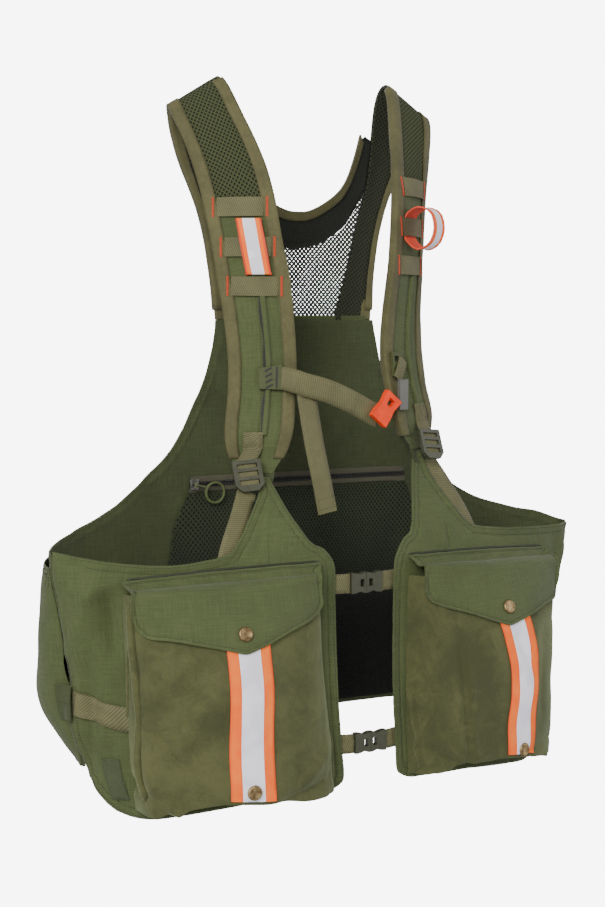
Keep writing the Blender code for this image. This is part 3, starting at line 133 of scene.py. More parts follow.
class Wire:
    """A value in a material's nodes, so that a pattern is written as plain sums."""

    def __init__(self, finish, socket):
        self.finish, self.socket = finish, socket

    def math(self, operation, *others):
        return self.finish.node("ShaderNodeMath", dict(enumerate((self, *others))),
                                operation=operation)

    def __add__(self, other):
        return self.math("ADD", other)

    def __sub__(self, other):
        return self.math("SUBTRACT", other)

    def __rsub__(self, other):
        return self.finish.node("ShaderNodeMath", {0: other, 1: self}, operation="SUBTRACT")

    def __mul__(self, other):
        return self.math("MULTIPLY", other)

    def __truediv__(self, other):
        return self.math("DIVIDE", other)

    def wave(self):
        """0 at whole numbers and 1 halfway between them."""
        return 1.0 - (self.math("FRACT") * 2.0 - 1.0).math("ABSOLUTE")

    def step(self, low, high):
        return self.finish.node("ShaderNodeMapRange", {0: self, 1: low, 2: high},
                                interpolation_type="SMOOTHSTEP")


class Finish:
    """One material, with a method for any node and a few for what repeats."""

    def __init__(self, name, roughness=0.8, sheen=0.0, metallic=0.0, gloss=0.5):
        self.material = bpy.data.materials.new(name)
        self.material.use_nodes = True
        self.tree = self.material.node_tree
        self.shader = self.tree.nodes["Principled BSDF"]
        for socket, value in (("Roughness", roughness), ("Metallic", metallic),
                              ("Specular IOR Level", gloss), ("Sheen Weight", sheen),
                              ("Sheen Roughness", 0.45)):
            self.feed(self.shader, socket, value)

    def feed(self, node, key, value):
        """Join a wire to a socket, or set the socket's own value."""
        if isinstance(value, Wire):
            self.tree.links.new(value.socket, node.inputs[key])
        else:
            node.inputs[key].default_value = value

    def node(self, kind, sockets, output=0, **settings):
        made = self.tree.nodes.new(kind)
        for key, value in settings.items():
            setattr(made, key, value)
        for key, value in sockets.items():
            self.feed(made, key, value)
        return Wire(self, made.outputs[output])

    def split(self, vector, *parts):
        """Some of a vector's parts, by number."""
        return [self.node("ShaderNodeSeparateXYZ", {0: vector}, part) for part in parts]

    def cloth(self):
        """Distances in millimetres across and along the piece's own cloth."""
        spread = self.node("ShaderNodeUVMap", {}, uv_map="cloth")
        return [part * (1 / MM) for part in self.split(spread, 0, 1)]

    def place(self):
        return self.node("ShaderNodeTexCoord", {}, "Object")

    def noise(self, scale, detail=3.0, rough=0.5, where=None, bend=0.0):
        return self.node("ShaderNodeTexNoise", {
            "Vector": where or self.place(), "Scale": scale, "Detail": detail,
            "Roughness": rough, "Distortion": bend})

    def threads(self, across, along):
        """Uneven threads: noise drawn out along one way of the cloth."""
        return self.noise(1.0, 2.0, 0.6, self.node("ShaderNodeCombineXYZ", {0: across, 1: along}))

    def diamonds(self, wide, tall):
        """0 on slanting strands, and 1 in the middle of the holes between them."""
        u, v = self.cloth()
        return (u / wide + v / tall).wave().math("MINIMUM", (u / wide - v / tall).wave())

    def mix(self, share, first, second):
        first, second = (c if isinstance(c, Wire) else (*c, 1.0) for c in (first, second))
        return self.node("ShaderNodeMix", {0: share, 6: first, 7: second}, 2, data_type="RGBA")

    def shades(self, share, colour, low, high):
        return self.mix(share, tint(colour, low), tint(colour, high))

    def dress(self, colour, bump, depth, strength, **others):
        normal = self.node("ShaderNodeBump",
                           {"Strength": strength, "Distance": depth, "Height": bump})
        colour = colour if isinstance(colour, Wire) else (*colour, 1.0)
        for key, value in {"Base Color": colour, "Normal": normal, **others}.items():
            self.feed(self.shader, key, value)
        return self.material


def tint(colour, share):
    return [c * share for c in colour]


def ripstop(name, light, dark):
    """Fine plain weave with a thicker thread every few millimetres both ways."""
    finish = Finish(name, 0.82, sheen=0.12)
    u, v = finish.cloth()
    over, down = ((way / GRID_PITCH).wave().step(0.86, 1.0) for way in (u, v))
    grid = over.math("MAXIMUM", down)
    weave = (u / YARN_PITCH).wave() * (v / YARN_PITCH).wave()
    slubs = finish.threads(u / 1.1, v / 26.0) + finish.threads(u / 26.0, v / 1.1)
    cloudy = finish.noise(14.0, 3.0, 0.55)
    shade = (cloudy - 0.5) * 0.9 + (slubs - 1.0) * 1.15 + grid * 0.10 + weave * 0.12 + 0.42
    return finish.dress(finish.mix(shade.step(0.0, 1.0), dark, light),
                        grid * 0.4 + weave * 0.4 + slubs * 0.9, 0.0003, 0.8)


def thread(name, colour):
    finish = Finish(name, 0.6)
    twist = finish.noise(900.0, 1.0)
    return finish.dress(finish.shades(twist, colour, 0.7, 1.0), twist, 0.0001, 0.5)


def unit(ways):
    return ways / np.maximum(np.linalg.norm(ways, axis=-1, keepdims=True), 1e-9)


def outward(co):
    """Away from the hollow, level, at each point of cloth that goes round the body."""
    return unit((co - BODY_MIDDLE) * np.array([0.16, 1.0, 0.0]))


def creases(rows):
    """Ridges and troughs: a row gives the middle, half lengths, height and slant of each."""
    def height(co):
        total = np.zeros(len(co))
        for x, z, long, wide, high, slant in rows:
            turn = math.radians(slant)
            dx, dz = co[:, 0] - x, co[:, 2] - z
            along = (dx * math.cos(turn) + dz * math.sin(turn)) / long
            side = (dz * math.cos(turn) - dx * math.sin(turn)) / wide
            total += high * np.exp(-along ** 4 - np.abs(side) ** 1.7)
        return total
    return height


def uneven(co, size, high, seed):
    """Soft unevenness that is the same wherever the same place is asked for."""
    draw = np.random.default_rng(seed)
    waves = 14
    total = np.zeros(len(co))
    for _ in range(waves):
        way = draw.normal(size=3)
        way *= 2 * math.pi / (size * draw.uniform(0.7, 1.8) * np.linalg.norm(way))
        total += np.sin(co @ way + draw.uniform(0, 2 * math.pi))
    return total * high / math.sqrt(waves)


def around(co):
    """Cloth distances for what goes round the body: along the ring, and down."""
    angle = np.arctan2(co[:, 0] / BODY_WIDE, (co[:, 1] - BODY_MIDDLE[1]) / BODY_DEEP)
    steps = np.linspace(-math.pi, math.pi, 721)
    ring = np.hypot(BODY_WIDE * np.cos(steps), BODY_DEEP * np.sin(steps))
    length = np.cumsum((ring[1:] + ring[:-1]) / 2 * (steps[1] - steps[0]))
    return np.stack([np.interp(angle, steps, [0.0, *length]), co[:, 2]], axis=1)


def reaches(line):
    """How far along a line each of its points lies."""
    return np.array([0.0, *np.cumsum(np.linalg.norm(np.diff(line, axis=0), axis=1))])


def at_reach(where, marks, points):
    return np.stack([np.interp(where, marks, points[:, i]) for i in range(3)], axis=-1)


def even(points, pitch=3.0, count=None):
    """The same line with a point at every even step along it."""
    points = np.asarray(points, float)
    marks = reaches(points)
    count = count or max(2, int(round(marks[-1] / pitch)) + 1)
    return at_reach(np.linspace(0.0, marks[-1], count), marks, points)


def coordinates(mesh):
    co = np.empty(len(mesh.vertices) * 3)
    mesh.vertices.foreach_get("co", co)
    return co


def map_cloth(mesh, spread):
    """Write each point's cloth distances, given in millimetres, as the map of its mesh."""
    index = np.empty(len(mesh.loops), dtype=int)
    mesh.loops.foreach_get("vertex_index", index)
    mesh.uv_layers.new(name="cloth").data.foreach_set("uv", (spread * MM)[index].ravel())


class Cloth:
    """A solid's cloth, copied, smoothed and ready to be folded, mapped and stitched."""

    def __init__(self, node, wall, levels, away=outward, sharp=False):
        self.node, self.away_of, self.sharp = node, away, sharp
        shape = bmesh.new()
        shape.from_mesh(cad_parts[node].data)
        bmesh.ops.remove_doubles(shape, verts=shape.verts, dist=2e-5)
        bmesh.ops.join_triangles(shape, faces=shape.faces, angle_face_threshold=1.0,
                                 angle_shape_threshold=1.4)
        shape.normal_update()
        self.find_rim(shape, wall)
        mesh = bpy.data.meshes.new(node + "_cloth")
        shape.to_mesh(mesh)
        shape.free()
        self.object = added(node + "_cloth", mesh)
        self.smooth(levels)
        self.co = coordinates(self.object.data).reshape(-1, 3) / MM
        self.flat = self.co.copy()
        self.away = away(self.co)
        self.tree = None

    def find_rim(self, shape, wall):
        """Mark the thin edge faces, crease them, and note the outline of the outer face."""
        rim = set()
        for face in (face for face in shape.faces if len(face.edges) == 4):
            edges = [loop.edge for loop in face.loops]
            for thin, long in ((edges[::2], edges[1::2]), (edges[1::2], edges[::2])):
                if (all(0.6 * wall < edge.calc_length() / MM < 1.45 * wall for edge in thin)
                        and all(edge.calc_face_angle(0.0) > 0.7 for edge in long)):
                    rim.add(face)
        outer = self.find_outer(shape, rim)
        crease = shape.edges.layers.float.new("crease_edge")
        corner = shape.verts.layers.float.new("crease_vert")
        links, self.inward = {}, {}
        for edge in shape.edges:
            if self.sharp and edge.calc_face_angle(0.0) > 0.8:
                edge[crease] = 1.0
            thin, broad = ([face for face in edge.link_faces if (face in rim) == wanted]
                           for wanted in (True, False))
            if len(thin) != 1 or len(broad) != 1:
                continue
            edge[crease] = 1.0
            if broad[0] in outer:
                a, b = (tuple(round(c / MM, 3) for c in v.co) for v in edge.verts)
                for key, other in ((a, b), (b, a)):
                    links.setdefault(key, []).append(other)
                    self.inward.setdefault(key, []).append(-np.array(thin[0].normal))
        for vertex in shape.verts:
            ways = [(edge.other_vert(vertex).co - vertex.co).normalized()
                    for edge in vertex.link_edges if edge[crease] > 0.5]
            if len(ways) == 2 and ways[0].dot(ways[1]) > -0.82:
                vertex[corner] = 1.0
        self.outlines = []
        while links:
            start = next((k for k in sorted(links) if len(links[k]) == 1), min(links))
            chain = [start]
            while links.get(chain[-1]):
                following = links[chain[-1]].pop()
                links[following].remove(chain[-1])
                chain.append(following)
            links = {k: v for k, v in links.items() if v}
            self.outlines.append(chain)

    def find_outer(self, shape, rim):
        """Number the faces: 0 looks out, 1 is the face behind it, and 2 is the rim."""
        waiting = set(shape.faces) - rim
        best, outer = None, set()
        while waiting:
            group, ahead = set(), [next(face for face in shape.faces if face in waiting)]
            waiting.discard(ahead[0])
            while ahead:
                face = ahead.pop()
                group.add(face)
                for other in (other for edge in face.edges for other in edge.link_faces):
                    if other in waiting:
                        waiting.discard(other)
                        ahead.append(other)
            centres = np.array([face.calc_center_median() for face in group]) / MM
            looks = (self.away_of(centres) * np.array([face.normal for face in group])).sum(axis=1)
            total = float((looks * np.array([face.calc_area() for face in group])).sum())
            if best is None or total > best:
                best, outer = total, group
        for face in shape.faces:
            face.material_index = 2 if face in rim else 0 if face in outer else 1
        return outer

    def smooth(self, levels):
        """Subdivide so that the smooth surface still runs through the solid's points."""
        mesh = self.object.data
        target = coordinates(mesh)
        control = target.copy()
        modifier = self.object.modifiers.new("smooth", "SUBSURF")
        modifier.use_limit_surface = True
        for step in (1, 1, 1, levels):
            modifier.levels = modifier.render_levels = step
            graph = bpy.context.evaluated_depsgraph_get()
            result = bpy.data.meshes.new_from_object(self.object.evaluated_get(graph))
            if step > 1:
                break
            control += (target - coordinates(result)[:len(target)]) * 0.9
            mesh.vertices.foreach_set("co", control)
            mesh.update()
        self.object.modifiers.clear()
        self.object.data = result

    def push(self, *heights):
        """Move both faces of the wall together, out by the sum of some heights."""
        for height in heights:
            self.co = self.co + self.away * height(self.flat)[:, None]
        self.tree = None
        return self

    def outline(self, pitch):
        return [even(np.array(chain), pitch) for chain in self.outlines]

    def hem(self, wide, deep, keep, seed=1):
        """A turned edge: thicker to its row of thread, drawn in there, with small puckers."""
        places = np.concatenate([line[[keep(p) for p in line]] for line in self.outline(3.0)])
        near = np.concatenate([
            np.sqrt(((some[:, None, :] - places[None, :, :]) ** 2).sum(axis=2).min(axis=1))
            for some in np.array_split(self.flat, len(self.flat) // 4000 + 1)])
        drawn = -deep * np.exp(-((near - wide) / 1.7) ** 2) + 0.3 * deep * (near < wide)
        fade = np.exp(-((near - wide * 0.6) / (wide * 0.7)) ** 2)
        return self.push(lambda co: drawn + uneven(co, 13.0, 0.42, seed) * fade)

    def surface(self):
        if self.tree is None:
            faces = [tuple(face.vertices) for face in self.object.data.polygons]
            self.tree = BVHTree.FromPolygons([Vector(p) for p in self.co], faces)
        return self.tree

    def cast(self, start, way, far):
        """Where a straight line first meets the cloth, or None."""
        hit = self.surface().ray_cast(Vector(start), Vector(way), far)[0]
        return None if hit is None else np.array(hit)

    def lay(self, points, lift=0.0, snap=12.0):
        """Points dropped on the outer face, with the way out of it at each."""
        laid, outs = [], []
        for point in points:
            away = Vector(self.away_of(np.array([point]))[0])
            hit = self.surface().ray_cast(Vector(point) + away * snap, -away, snap * 3)
            if hit[0] is None:
                hit = self.surface().find_nearest(Vector(point))
            normal = hit[1] if hit[1].dot(away) > 0 else -hit[1]
            laid.append(hit[0] + normal * lift)
            outs.append(normal)
        return np.array(laid), np.array(outs)

    def edge(self, inset, keep=None, pitch=3.0):
        """Rows of points a distance in from the outline, laid on the cloth."""
        runs = [[]]
        for chain in self.outlines:
            for key in chain:
                if keep is None or keep(key):
                    inward = unit(np.mean(self.inward[key], axis=0))
                    runs[-1].append(np.array(key) + inward * inset)
                else:
                    runs.append([])
            runs.append([])
        return [self.lay(even(run, pitch), THREAD_LIFT) for run in runs if len(run) > 1]

    def done(self, material, slot, spread, sheet=True, padded=None, others=(), pick=None, cut=None):
        """Store the folds, map the cloth, and give the piece its materials."""
        mesh = self.object.data
        mesh.vertices.foreach_set("co", (self.co * MM).ravel())
        mesh.update()
        spread = spread(self.flat)
        map_cloth(mesh, spread)
        part = np.empty(len(mesh.polygons), dtype=int)
        mesh.polygons.foreach_get("material_index", part)
        mesh.materials.clear()
        for finish in (material, *others):
            mesh.materials.append(finish)
        centres = np.array([face.center for face in mesh.polygons]) / MM
        chosen = pick(centres, part) if pick is not None else np.zeros(len(part), dtype=int)
        mesh.polygons.foreach_set("material_index", chosen.astype(int))
        mesh.shade_smooth()
        mesh.set_sharp_from_angle(angle=math.radians(48))
        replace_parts(self.object, self.node)
        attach(self.object, "vest")
        if padded is not None:
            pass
        elif sheet:
            size = cut or tuple(round(float(s), 3) for s in np.ptp(spread * MM, axis=0))
        return self


def stitch_tree():
    """Geometry nodes that put one short thread on every point of a seam."""
    tree = bpy.data.node_groups.new("seam stitches", "GeometryNodeTree")
    for name, way, kind in (("Geometry", "INPUT", "Geometry"), ("Length", "INPUT", "Float"),
                            ("Thickness", "INPUT", "Float"), ("Thread", "INPUT", "Material"),
                            ("Geometry", "OUTPUT", "Geometry")):
        tree.interface.new_socket(name, in_out=way, socket_type="NodeSocket" + kind)
    given, bead, size, stretched, turn, placed, real, dyed, result = map(tree.nodes.new, (
        "NodeGroupInput", "GeometryNodeMeshUVSphere", "ShaderNodeCombineXYZ",
        "GeometryNodeTransform", "FunctionNodeAxesToRotation", "GeometryNodeInstanceOnPoints",
        "GeometryNodeRealizeInstances", "GeometryNodeSetMaterial", "NodeGroupOutput"))
    for key, value in (("Segments", 5), ("Rings", 3), ("Radius", 0.5)):
        bead.inputs[key].default_value = value
    turn.primary_axis, turn.secondary_axis = "X", "Z"
    for number, name in enumerate(("along", "out")):
        read = tree.nodes.new("GeometryNodeInputNamedAttribute")
        read.data_type = "FLOAT_VECTOR"
        read.inputs["Name"].default_value = name
        tree.links.new(read.outputs["Attribute"], turn.inputs[number])
    for source, output, target, socket in (
            (given, "Length", size, 0), (given, "Thickness", size, 1),
            (given, "Thickness", size, 2), (bead, "Mesh", stretched, "Geometry"),
            (size, 0, stretched, "Scale"), (given, "Geometry", placed, "Points"),
            (stretched, "Geometry", placed, "Instance"), (turn, 0, placed, "Rotation"),
            (placed, "Instances", real, "Geometry"), (real, "Geometry", dyed, "Geometry"),
            (given, "Thread", dyed, "Material"), (dyed, "Geometry", result, "Geometry")):
        tree.links.new(source.outputs[output], target.inputs[socket])
    return tree


STITCHES = stitch_tree()


def sew(name, rows, material, length=2.2, thick=0.55):
    """Thread along rows of points; each row is places and the ways out of the cloth."""
    mesh = bpy.data.meshes.new(name + "_points")
    mesh.from_pydata((np.concatenate([row[0] for row in rows]) * MM).tolist(), [], [])
    for key, values in (("along", [unit(np.gradient(row[0], axis=0)) for row in rows]),
                        ("out", [row[1] for row in rows])):
        layer = mesh.attributes.new(key, "FLOAT_VECTOR", "POINT")
        layer.data.foreach_set("vector", np.concatenate(values).astype(np.float32).ravel())
    item = added(name, mesh)
    modifier = item.modifiers.new("stitches", "NODES")
    modifier.node_group = STITCHES
    settings = {"Length": length * MM, "Thickness": thick * MM, "Thread": material}
    for socket in STITCHES.interface.items_tree:
        if socket.in_out == "INPUT" and socket.name in settings:
            modifier[socket.identifier] = settings[socket.name]
    graph = bpy.context.evaluated_depsgraph_get()
    result = bpy.data.meshes.new_from_object(item.evaluated_get(graph))
    item.modifiers.clear()
    item.data = result
    result.shade_smooth()
    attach(item, "vest")


# Inner faces take the second, darker ripstop, which is painted shade.
def painted_shade_inside(centres, part):
    return np.where(part == 1, 1, 0)


def round_body(cloth, cut=None):
    """Finish a sheet of ripstop that goes round the body, with painted shade on its inner side."""
    cloth.done(RIPSTOP, "ripstop", around, others=(RIPSTOP_SHADED,), pick=painted_shade_inside, cut=cut)


def sew_hem(name, rows):
    sew(name, rows, GREEN_THREAD, 1.9, 0.8)


RIPSTOP = ripstop("olive ripstop", OLIVE, OLIVE_DARK)
# A darker copy of the ripstop: painted shade for inner faces and for pieces tucked into shade.
RIPSTOP_SHADED = ripstop("olive ripstop in painted shade", tint(OLIVE, 0.70), tint(OLIVE_DARK, 0.62))
# Near black: painted shadow for slits and slots.
PAINTED_SHADOW = thread("painted shadow in gaps", (0.008, 0.010, 0.005))
SEAM_SHADE = thread("seam shade", (0.026, 0.034, 0.012))
GREEN_THREAD = thread("green thread", (0.018, 0.024, 0.009))
PALE_THREAD = thread("pale green thread", (0.020, 0.028, 0.010))
BACK_HEM = 9.0
BACK_FOLDS = creases((
    (140, -470, 80, 13, 2.6, 62), (-165, -452, 70, 12, 2.4, -58), (205, -560, 90, 16, -2.2, 84),
    (-215, -580, 95, 15, -2.4, 97), (250, -500, 60, 12, 2.0, 75), (-255, -510, 60, 12, 2.2, 105),
    (60, -330, 70, 18, -1.2, 70), (-40, -380, 80, 20, 1.0, 95), (95, -400, 50, 12, 1.4, 110),
))


def back_uneven(co):
    return uneven(co, 46.0, 0.5, 11) + uneven(co, 120.0, 0.7, 12)


def armhole(p):
    return p[2] > -560 and abs(p[0]) > 97


back_panel = Cloth("back_panel", PANEL_WALL, 3).push(BACK_FOLDS, back_uneven)
back_panel.hem(BACK_HEM, 0.9, armhole)
round_body(back_panel)
sew_hem("back_panel_stitches", back_panel.edge(3.0, armhole) + back_panel.edge(BACK_HEM, armhole))


# Game bag: a full ripstop layer sewn to the back at its side seams and hem and open at the
# top, with a hanging fullness that folds deepest near its foot.

BAG_CUT = (0.783, 0.283)
BAG_FOLDS = creases((
    (130, -575, 95, 13, 4.6, 68), (-120, -590, 90, 14, 5.0, 110), (20, -650, 120, 14, -5.0, 8),
    (-235, -600, 62, 12, 4.0, 76), (232, -610, 60, 13, 4.2, 102), (-30, -520, 90, 14, -3.4, 84),
    (70, -560, 70, 11, -3.0, 100), (-190, -660, 60, 11, -3.2, 20), (180, -665, 60, 11, -3.4, -18),
    (0, -600, 60, 12, 3.2, 60), (-60, -640, 60, 12, 3.0, -35), (80, -655, 70, 10, 2.6, 25),
))


def bag_folds(co):
    """The bag's own folds, which end short of its seams, mouth and hem."""
    middle = np.clip((-475 - co[:, 2]) / 45.0, 0, 1) * np.clip((co[:, 2] + 692) / 22.0, 0, 1)
    return BAG_FOLDS(co) * middle * np.clip((285 - np.abs(co[:, 0])) / 40.0, 0, 1)


game_bag = Cloth("game_bag", 1.2, 3).push(BACK_FOLDS, back_uneven, bag_folds)
round_body(game_bag, BAG_CUT)
sew_hem("game_bag_stitches", game_bag.edge(3.0, lambda p: p[2] > -520)
        + game_bag.edge(8.0, lambda p: p[2] > -520) + game_bag.edge(4.0, lambda p: p[2] < -690))


# Inside of the back: dark spacer mesh below a long zip. Its colour is painted darker toward
# the hem, nearly to black, as painted shade where little light reaches it.

ZIP_HEIGHT = -433.0


def spacer_mesh(name, strand, deep, wide, tall, fade=None):
    """Open knit over dark foam: slanting strands with holes between them."""
    finish = Finish(name, 0.95)
    hole = finish.diamonds(wide, tall).step(0.30, 0.62)
    colour = finish.mix(hole, strand, deep)
    # The fade is painted shade: the colour darkens to the deep colour over a span of heights.
    if fade:
        colour = finish.mix(finish.cloth()[1].step(*fade), deep, colour)
    return finish.dress(colour, 1.0 - hole, 0.0008, 0.9)


def inside_cloth(co):
    return -outward(co)


def inner_folds(co):
    return -(BACK_FOLDS(co) + back_uneven(co))


def zip_cloth():
    """Ribbed tape, dark along the teeth and khaki beyond them."""
    finish = Finish("zip tape")
    u, v = finish.cloth()
    off = (v - ZIP_HEIGHT).math("ABSOLUTE")
    shade = finish.mix(off.step(2.2, 3.4), (0.012, 0.012, 0.010), (0.075, 0.072, 0.045))
    return finish.dress(shade, (u / 1.1).wave(), 0.0002, 0.5)


LINING = spacer_mesh("inner spacer mesh", (0.029, 0.041, 0.016), (0.003, 0.004, 0.003), 5.2, 6.4,
                     fade=(-610.0, -455.0))
lining = Cloth("back_lining", 1.0, 3, inside_cloth).push(inner_folds)
lining.done(LINING, "mesh", around)
zip_tape = Cloth("zip_tape", 1.2, 3, inside_cloth).push(inner_folds)
zip_tape.done(zip_cloth(), "zip_cloth", around, sheet=False)
teeth = []
for off in (1.7, -1.7):
    line = [(x, 20.0, ZIP_HEIGHT + off) for x in np.arange(-128.0, 135.0, 2.6)]
    teeth.append(zip_tape.lay(even(line, 2.6), 0.3, snap=40.0))
zip_metal = Finish("dark zip metal", 0.38, metallic=1.0)
ZIP_DARK = zip_metal.dress((0.10, 0.10, 0.095), zip_metal.noise(300.0), 0.0001, 0.3)
sew("zip_teeth", teeth, ZIP_DARK, 1.5, 1.9)


# Zip slider and ring puller: a grey cast slider, and a thin green ring that swings on the
# slider's upright pin.

def soften(item, rounded):
    """Round a hard piece's edges a little."""
    modifier = item.modifiers.new("rounded", "BEVEL")
    modifier.width, modifier.segments = rounded * MM, 2
    modifier.limit_method, modifier.angle_limit = "ANGLE", math.radians(38)


def coat(node, material, rounded):
    """Give a hard solid its material and soften its edges."""
    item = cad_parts[node]
    item.data.materials.clear()
    item.data.materials.append(material)
    soften(item, rounded)


def moulded(name, colour, roughness=0.42, gloss=0.5):
    """Moulded plastic with a fine grain and slightly uneven gloss."""
    finish = Finish(name, roughness, gloss=gloss)
    cloud = finish.noise(90.0, 2.0)
    return finish.dress(finish.shades(cloud.step(0.2, 0.8), colour, 0.86, 1.1),
                        finish.noise(1400.0, 2.0), 0.00012, 0.35,
                        Roughness=cloud * 0.2 + (roughness - 0.1))


def cast_metal(name, bright, dark, roughness=0.36):
    finish = Finish(name, roughness, metallic=1.0)
    wear = finish.noise(220.0, 3.0, 0.6)
    return finish.dress(finish.mix(wear.step(0.35, 0.7), dark, bright), finish.noise(700.0, 2.0),
                        0.00008, 0.4, Roughness=wear * 0.3 + (roughness - 0.12))


ZINC = cast_metal("zip slider zinc", (0.42, 0.41, 0.38), (0.17, 0.165, 0.15))
PULLER = moulded("green puller", (0.105, 0.130, 0.050), 0.4)
coat("zip_slider", ZINC, 0.35)
coat("zip_pull", PULLER, 0.3)


# Front panels: ripstop from side seam to centre edge, each rising to a lug behind its ladder
# lock. A pleat runs down beside each pocket and the cloth sags in softly by the pocket's top.

SIDES = (("right", -1), ("left", 1))
FRONT_HEM = 8.5
FRONT_FOLDS = {
    -1: creases((
        (-290, -655, 62, 5, 2.6, 92), (-281, -655, 62, 5, -2.2, 92), (-266, -552, 36, 9, -4.6, 98),
        (-289, -548, 52, 11, 3.4, 76), (-276, -520, 26, 10, 1.8, 30), (-303, -600, 50, 9, -1.6, 96),
        (-225, -503, 60, 6, -1.0, 8), (-262, -700, 26, 9, -1.8, 110),
    )),
    1: creases((
        (272, -560, 48, 9, -3.6, 84), (292, -545, 56, 11, 3.0, 100), (284, -640, 60, 6, 2.4, 88),
        (294, -645, 60, 6, -1.8, 88), (266, -700, 30, 9, -1.8, 72), (225, -500, 60, 6, -1.0, -6),
    )),
}


def clear_of_pocket(co):
    """0 where the pocket and its flap lie, and near the open front; 1 elsewhere."""
    beside = np.abs(co[:, 0])
    reach = np.maximum(beside - 254.0, co[:, 2] + 500.0)
    return np.clip(reach / 12.0, 0.0, 1.0) * np.clip((beside - 50.0) / 20.0, 0.0, 1.0)


def front_height(side):
    def height(co):
        soft = uneven(co, 42.0, 0.45, 21) + uneven(co, 110.0, 0.5, 22)
        return (FRONT_FOLDS[side](co) * 2.0 + soft * 1.5) * clear_of_pocket(co)
    return height


def inside_of(limit):
    return lambda p: abs(p[0]) < limit


fronts = {}
for word, side in SIDES:
    front = fronts[side] = Cloth("front_" + word, PANEL_WALL, 3).push(front_height(side))
    front.hem(FRONT_HEM, 0.95, inside_of(306), seed=5)
    round_body(front)
    sew_hem("front_" + word + "_stitches",
            front.edge(2.6, inside_of(300)) + front.edge(FRONT_HEM, inside_of(292)))


# Side adjusters and label: tan webbing sewn from each pocket to the side seam, a folded tab of
# the panel's own cloth where it ends, and a small woven label that is left plain.

UP = np.array([0.0, 0.0, 1.0])
SEAM_ROUND = 48.0
TAB_ROWS, TAB_COLUMNS = 11, 9
PATTERN_START = 2.4


def webbing(name, colour, rib=2.3):
    """Woven tape: slanting ribs across it, broken by the fine threads that run along."""
    finish = Finish(name, 0.72, sheen=0.1)
    u, v = finish.cloth()
    ribs = ((v + u * 0.45) / rib).wave().step(0.1, 0.8)
    lines = (u / 1.9).wave()
    shade = ribs * 0.56 + lines * 0.14 + (finish.noise(42.0) - 0.5) * 0.9 + 0.14
    return finish.dress(finish.shades(shade.step(0.0, 1.0), colour, 0.55, 1.16),
                        ribs * 0.6 + lines * 0.4, 0.0003, 0.8)


class Strip:
    """A band's two long edges, so that a place on it has a distance along and across."""

    def __init__(self, cloth, count=160):
        ring = np.array(max(cloth.outlines, key=len)[:-1])
        ahead, behind = np.roll(ring, -1, axis=0) - ring, ring - np.roll(ring, 1, axis=0)
        straight = (unit(ahead) * unit(behind)).sum(axis=1)
        corners = sorted(np.argsort(straight)[:4])
        ring = np.roll(ring, -corners[0], axis=0)
        marks = [c - corners[0] for c in corners] + [len(ring)]
        ring = np.concatenate([ring, ring[:1]])
        runs = [ring[a:b + 1] for a, b in zip(marks, marks[1:])]
        first, second = sorted(runs, key=lambda run: -reaches(run)[-1])[:2]
        if np.linalg.norm(first[0] - second[0]) > np.linalg.norm(first[0] - second[-1]):
            second = second[::-1]
        if first[0][2] > first[-1][2]:
            first, second = first[::-1], second[::-1]
        if abs(first[:, 0].mean()) > abs(second[:, 0].mean()):
            first, second = second, first
        self.near, self.far = (even(edge, count=count) for edge in (first, second))
        finer = [even(edge, count=count * 4) for edge in (first, second)]
        for _ in range(3):
            self.square_up(finer)
        self.middle = (self.near + self.far) / 2
        self.reach = reaches(self.middle)
        self.long = self.reach[-1]
        self.along = unit(np.gradient(self.middle, axis=0))
        self.sideways = unit(self.far - self.near)
        self.wide = np.linalg.norm(self.far - self.near, axis=1)

    def square_up(self, edges):
        """Pair the two edges again, so that each pair lies square to the line between them."""
        middle = (self.near + self.far) / 2
        ways = unit(np.gradient(middle, axis=0))
        for name, edge in zip(("near", "far"), edges):
            gaps = edge[None, :, :] - middle[:, None, :]
            off = (gaps * ways[:, None, :]).sum(axis=2)
            cost = np.abs(off) + np.linalg.norm(gaps, axis=2) * 0.2
            picked = np.maximum.accumulate(cost.argmin(axis=1))
            picked[0], picked[-1] = 0, len(edge) - 1
            padded = np.pad(picked.astype(float), 6, mode="edge")
            smooth = np.convolve(padded, np.ones(13) / 13, "valid")
            setattr(self, name, at_reach(smooth, np.arange(len(edge)), edge))

    def at(self, along, across):
        """The point at a distance from the foot and a share across, before it is laid."""
        near, far = (at_reach(along, self.reach, edge) for edge in (self.near, self.far))
        return near + (far - near) * across

    def close(self, co):
        return ((co[:, None, :] - self.middle[None, :, :]) ** 2).sum(axis=2).argmin(axis=1)

    def spread(self, co):
        """Distances across from the middle and along from the foot, for many points."""
        close = self.close(co)
        rest = co - self.middle[close]
        return np.stack([(rest * self.sideways[close]).sum(axis=1),
                         self.reach[close] + (rest * self.along[close]).sum(axis=1)], axis=1)

    def reach_of(self, point):
        return self.spread(np.array([point], float))[0][1]

    def step_of(self, point):
        return int(np.abs(self.reach - self.reach_of(point)).argmin())

    def face_out(self, away):
        """Give the strip a way out at every step, on the side that a first guess names."""
        self.out = unit(np.cross(self.along, self.sideways))
        if (self.out * away(self.middle)).sum() < 0:
            self.out = -self.out
        return self

    def away(self, co):
        return self.out[self.close(co)]


def closed_piece(name, points, faces, spread, material, sharp=None):
    """A closed piece of its own, faced outward, mapped and given its material."""
    mesh = bpy.data.meshes.new(name)
    mesh.from_pydata((np.asarray(points) * MM).tolist(), [], faces)
    if spread is not None:
        map_cloth(mesh, spread)
    mesh.materials.append(material)
    shape = bmesh.new()
    shape.from_mesh(mesh)
    if shape.calc_volume(signed=True) < 0:
        bmesh.ops.reverse_faces(shape, faces=shape.faces)
    shape.to_mesh(mesh)
    shape.free()
    mesh.shade_smooth()
    if sharp:
        mesh.set_sharp_from_angle(angle=math.radians(sharp))
    item = added(name, mesh)
    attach(item, "vest")
    return item


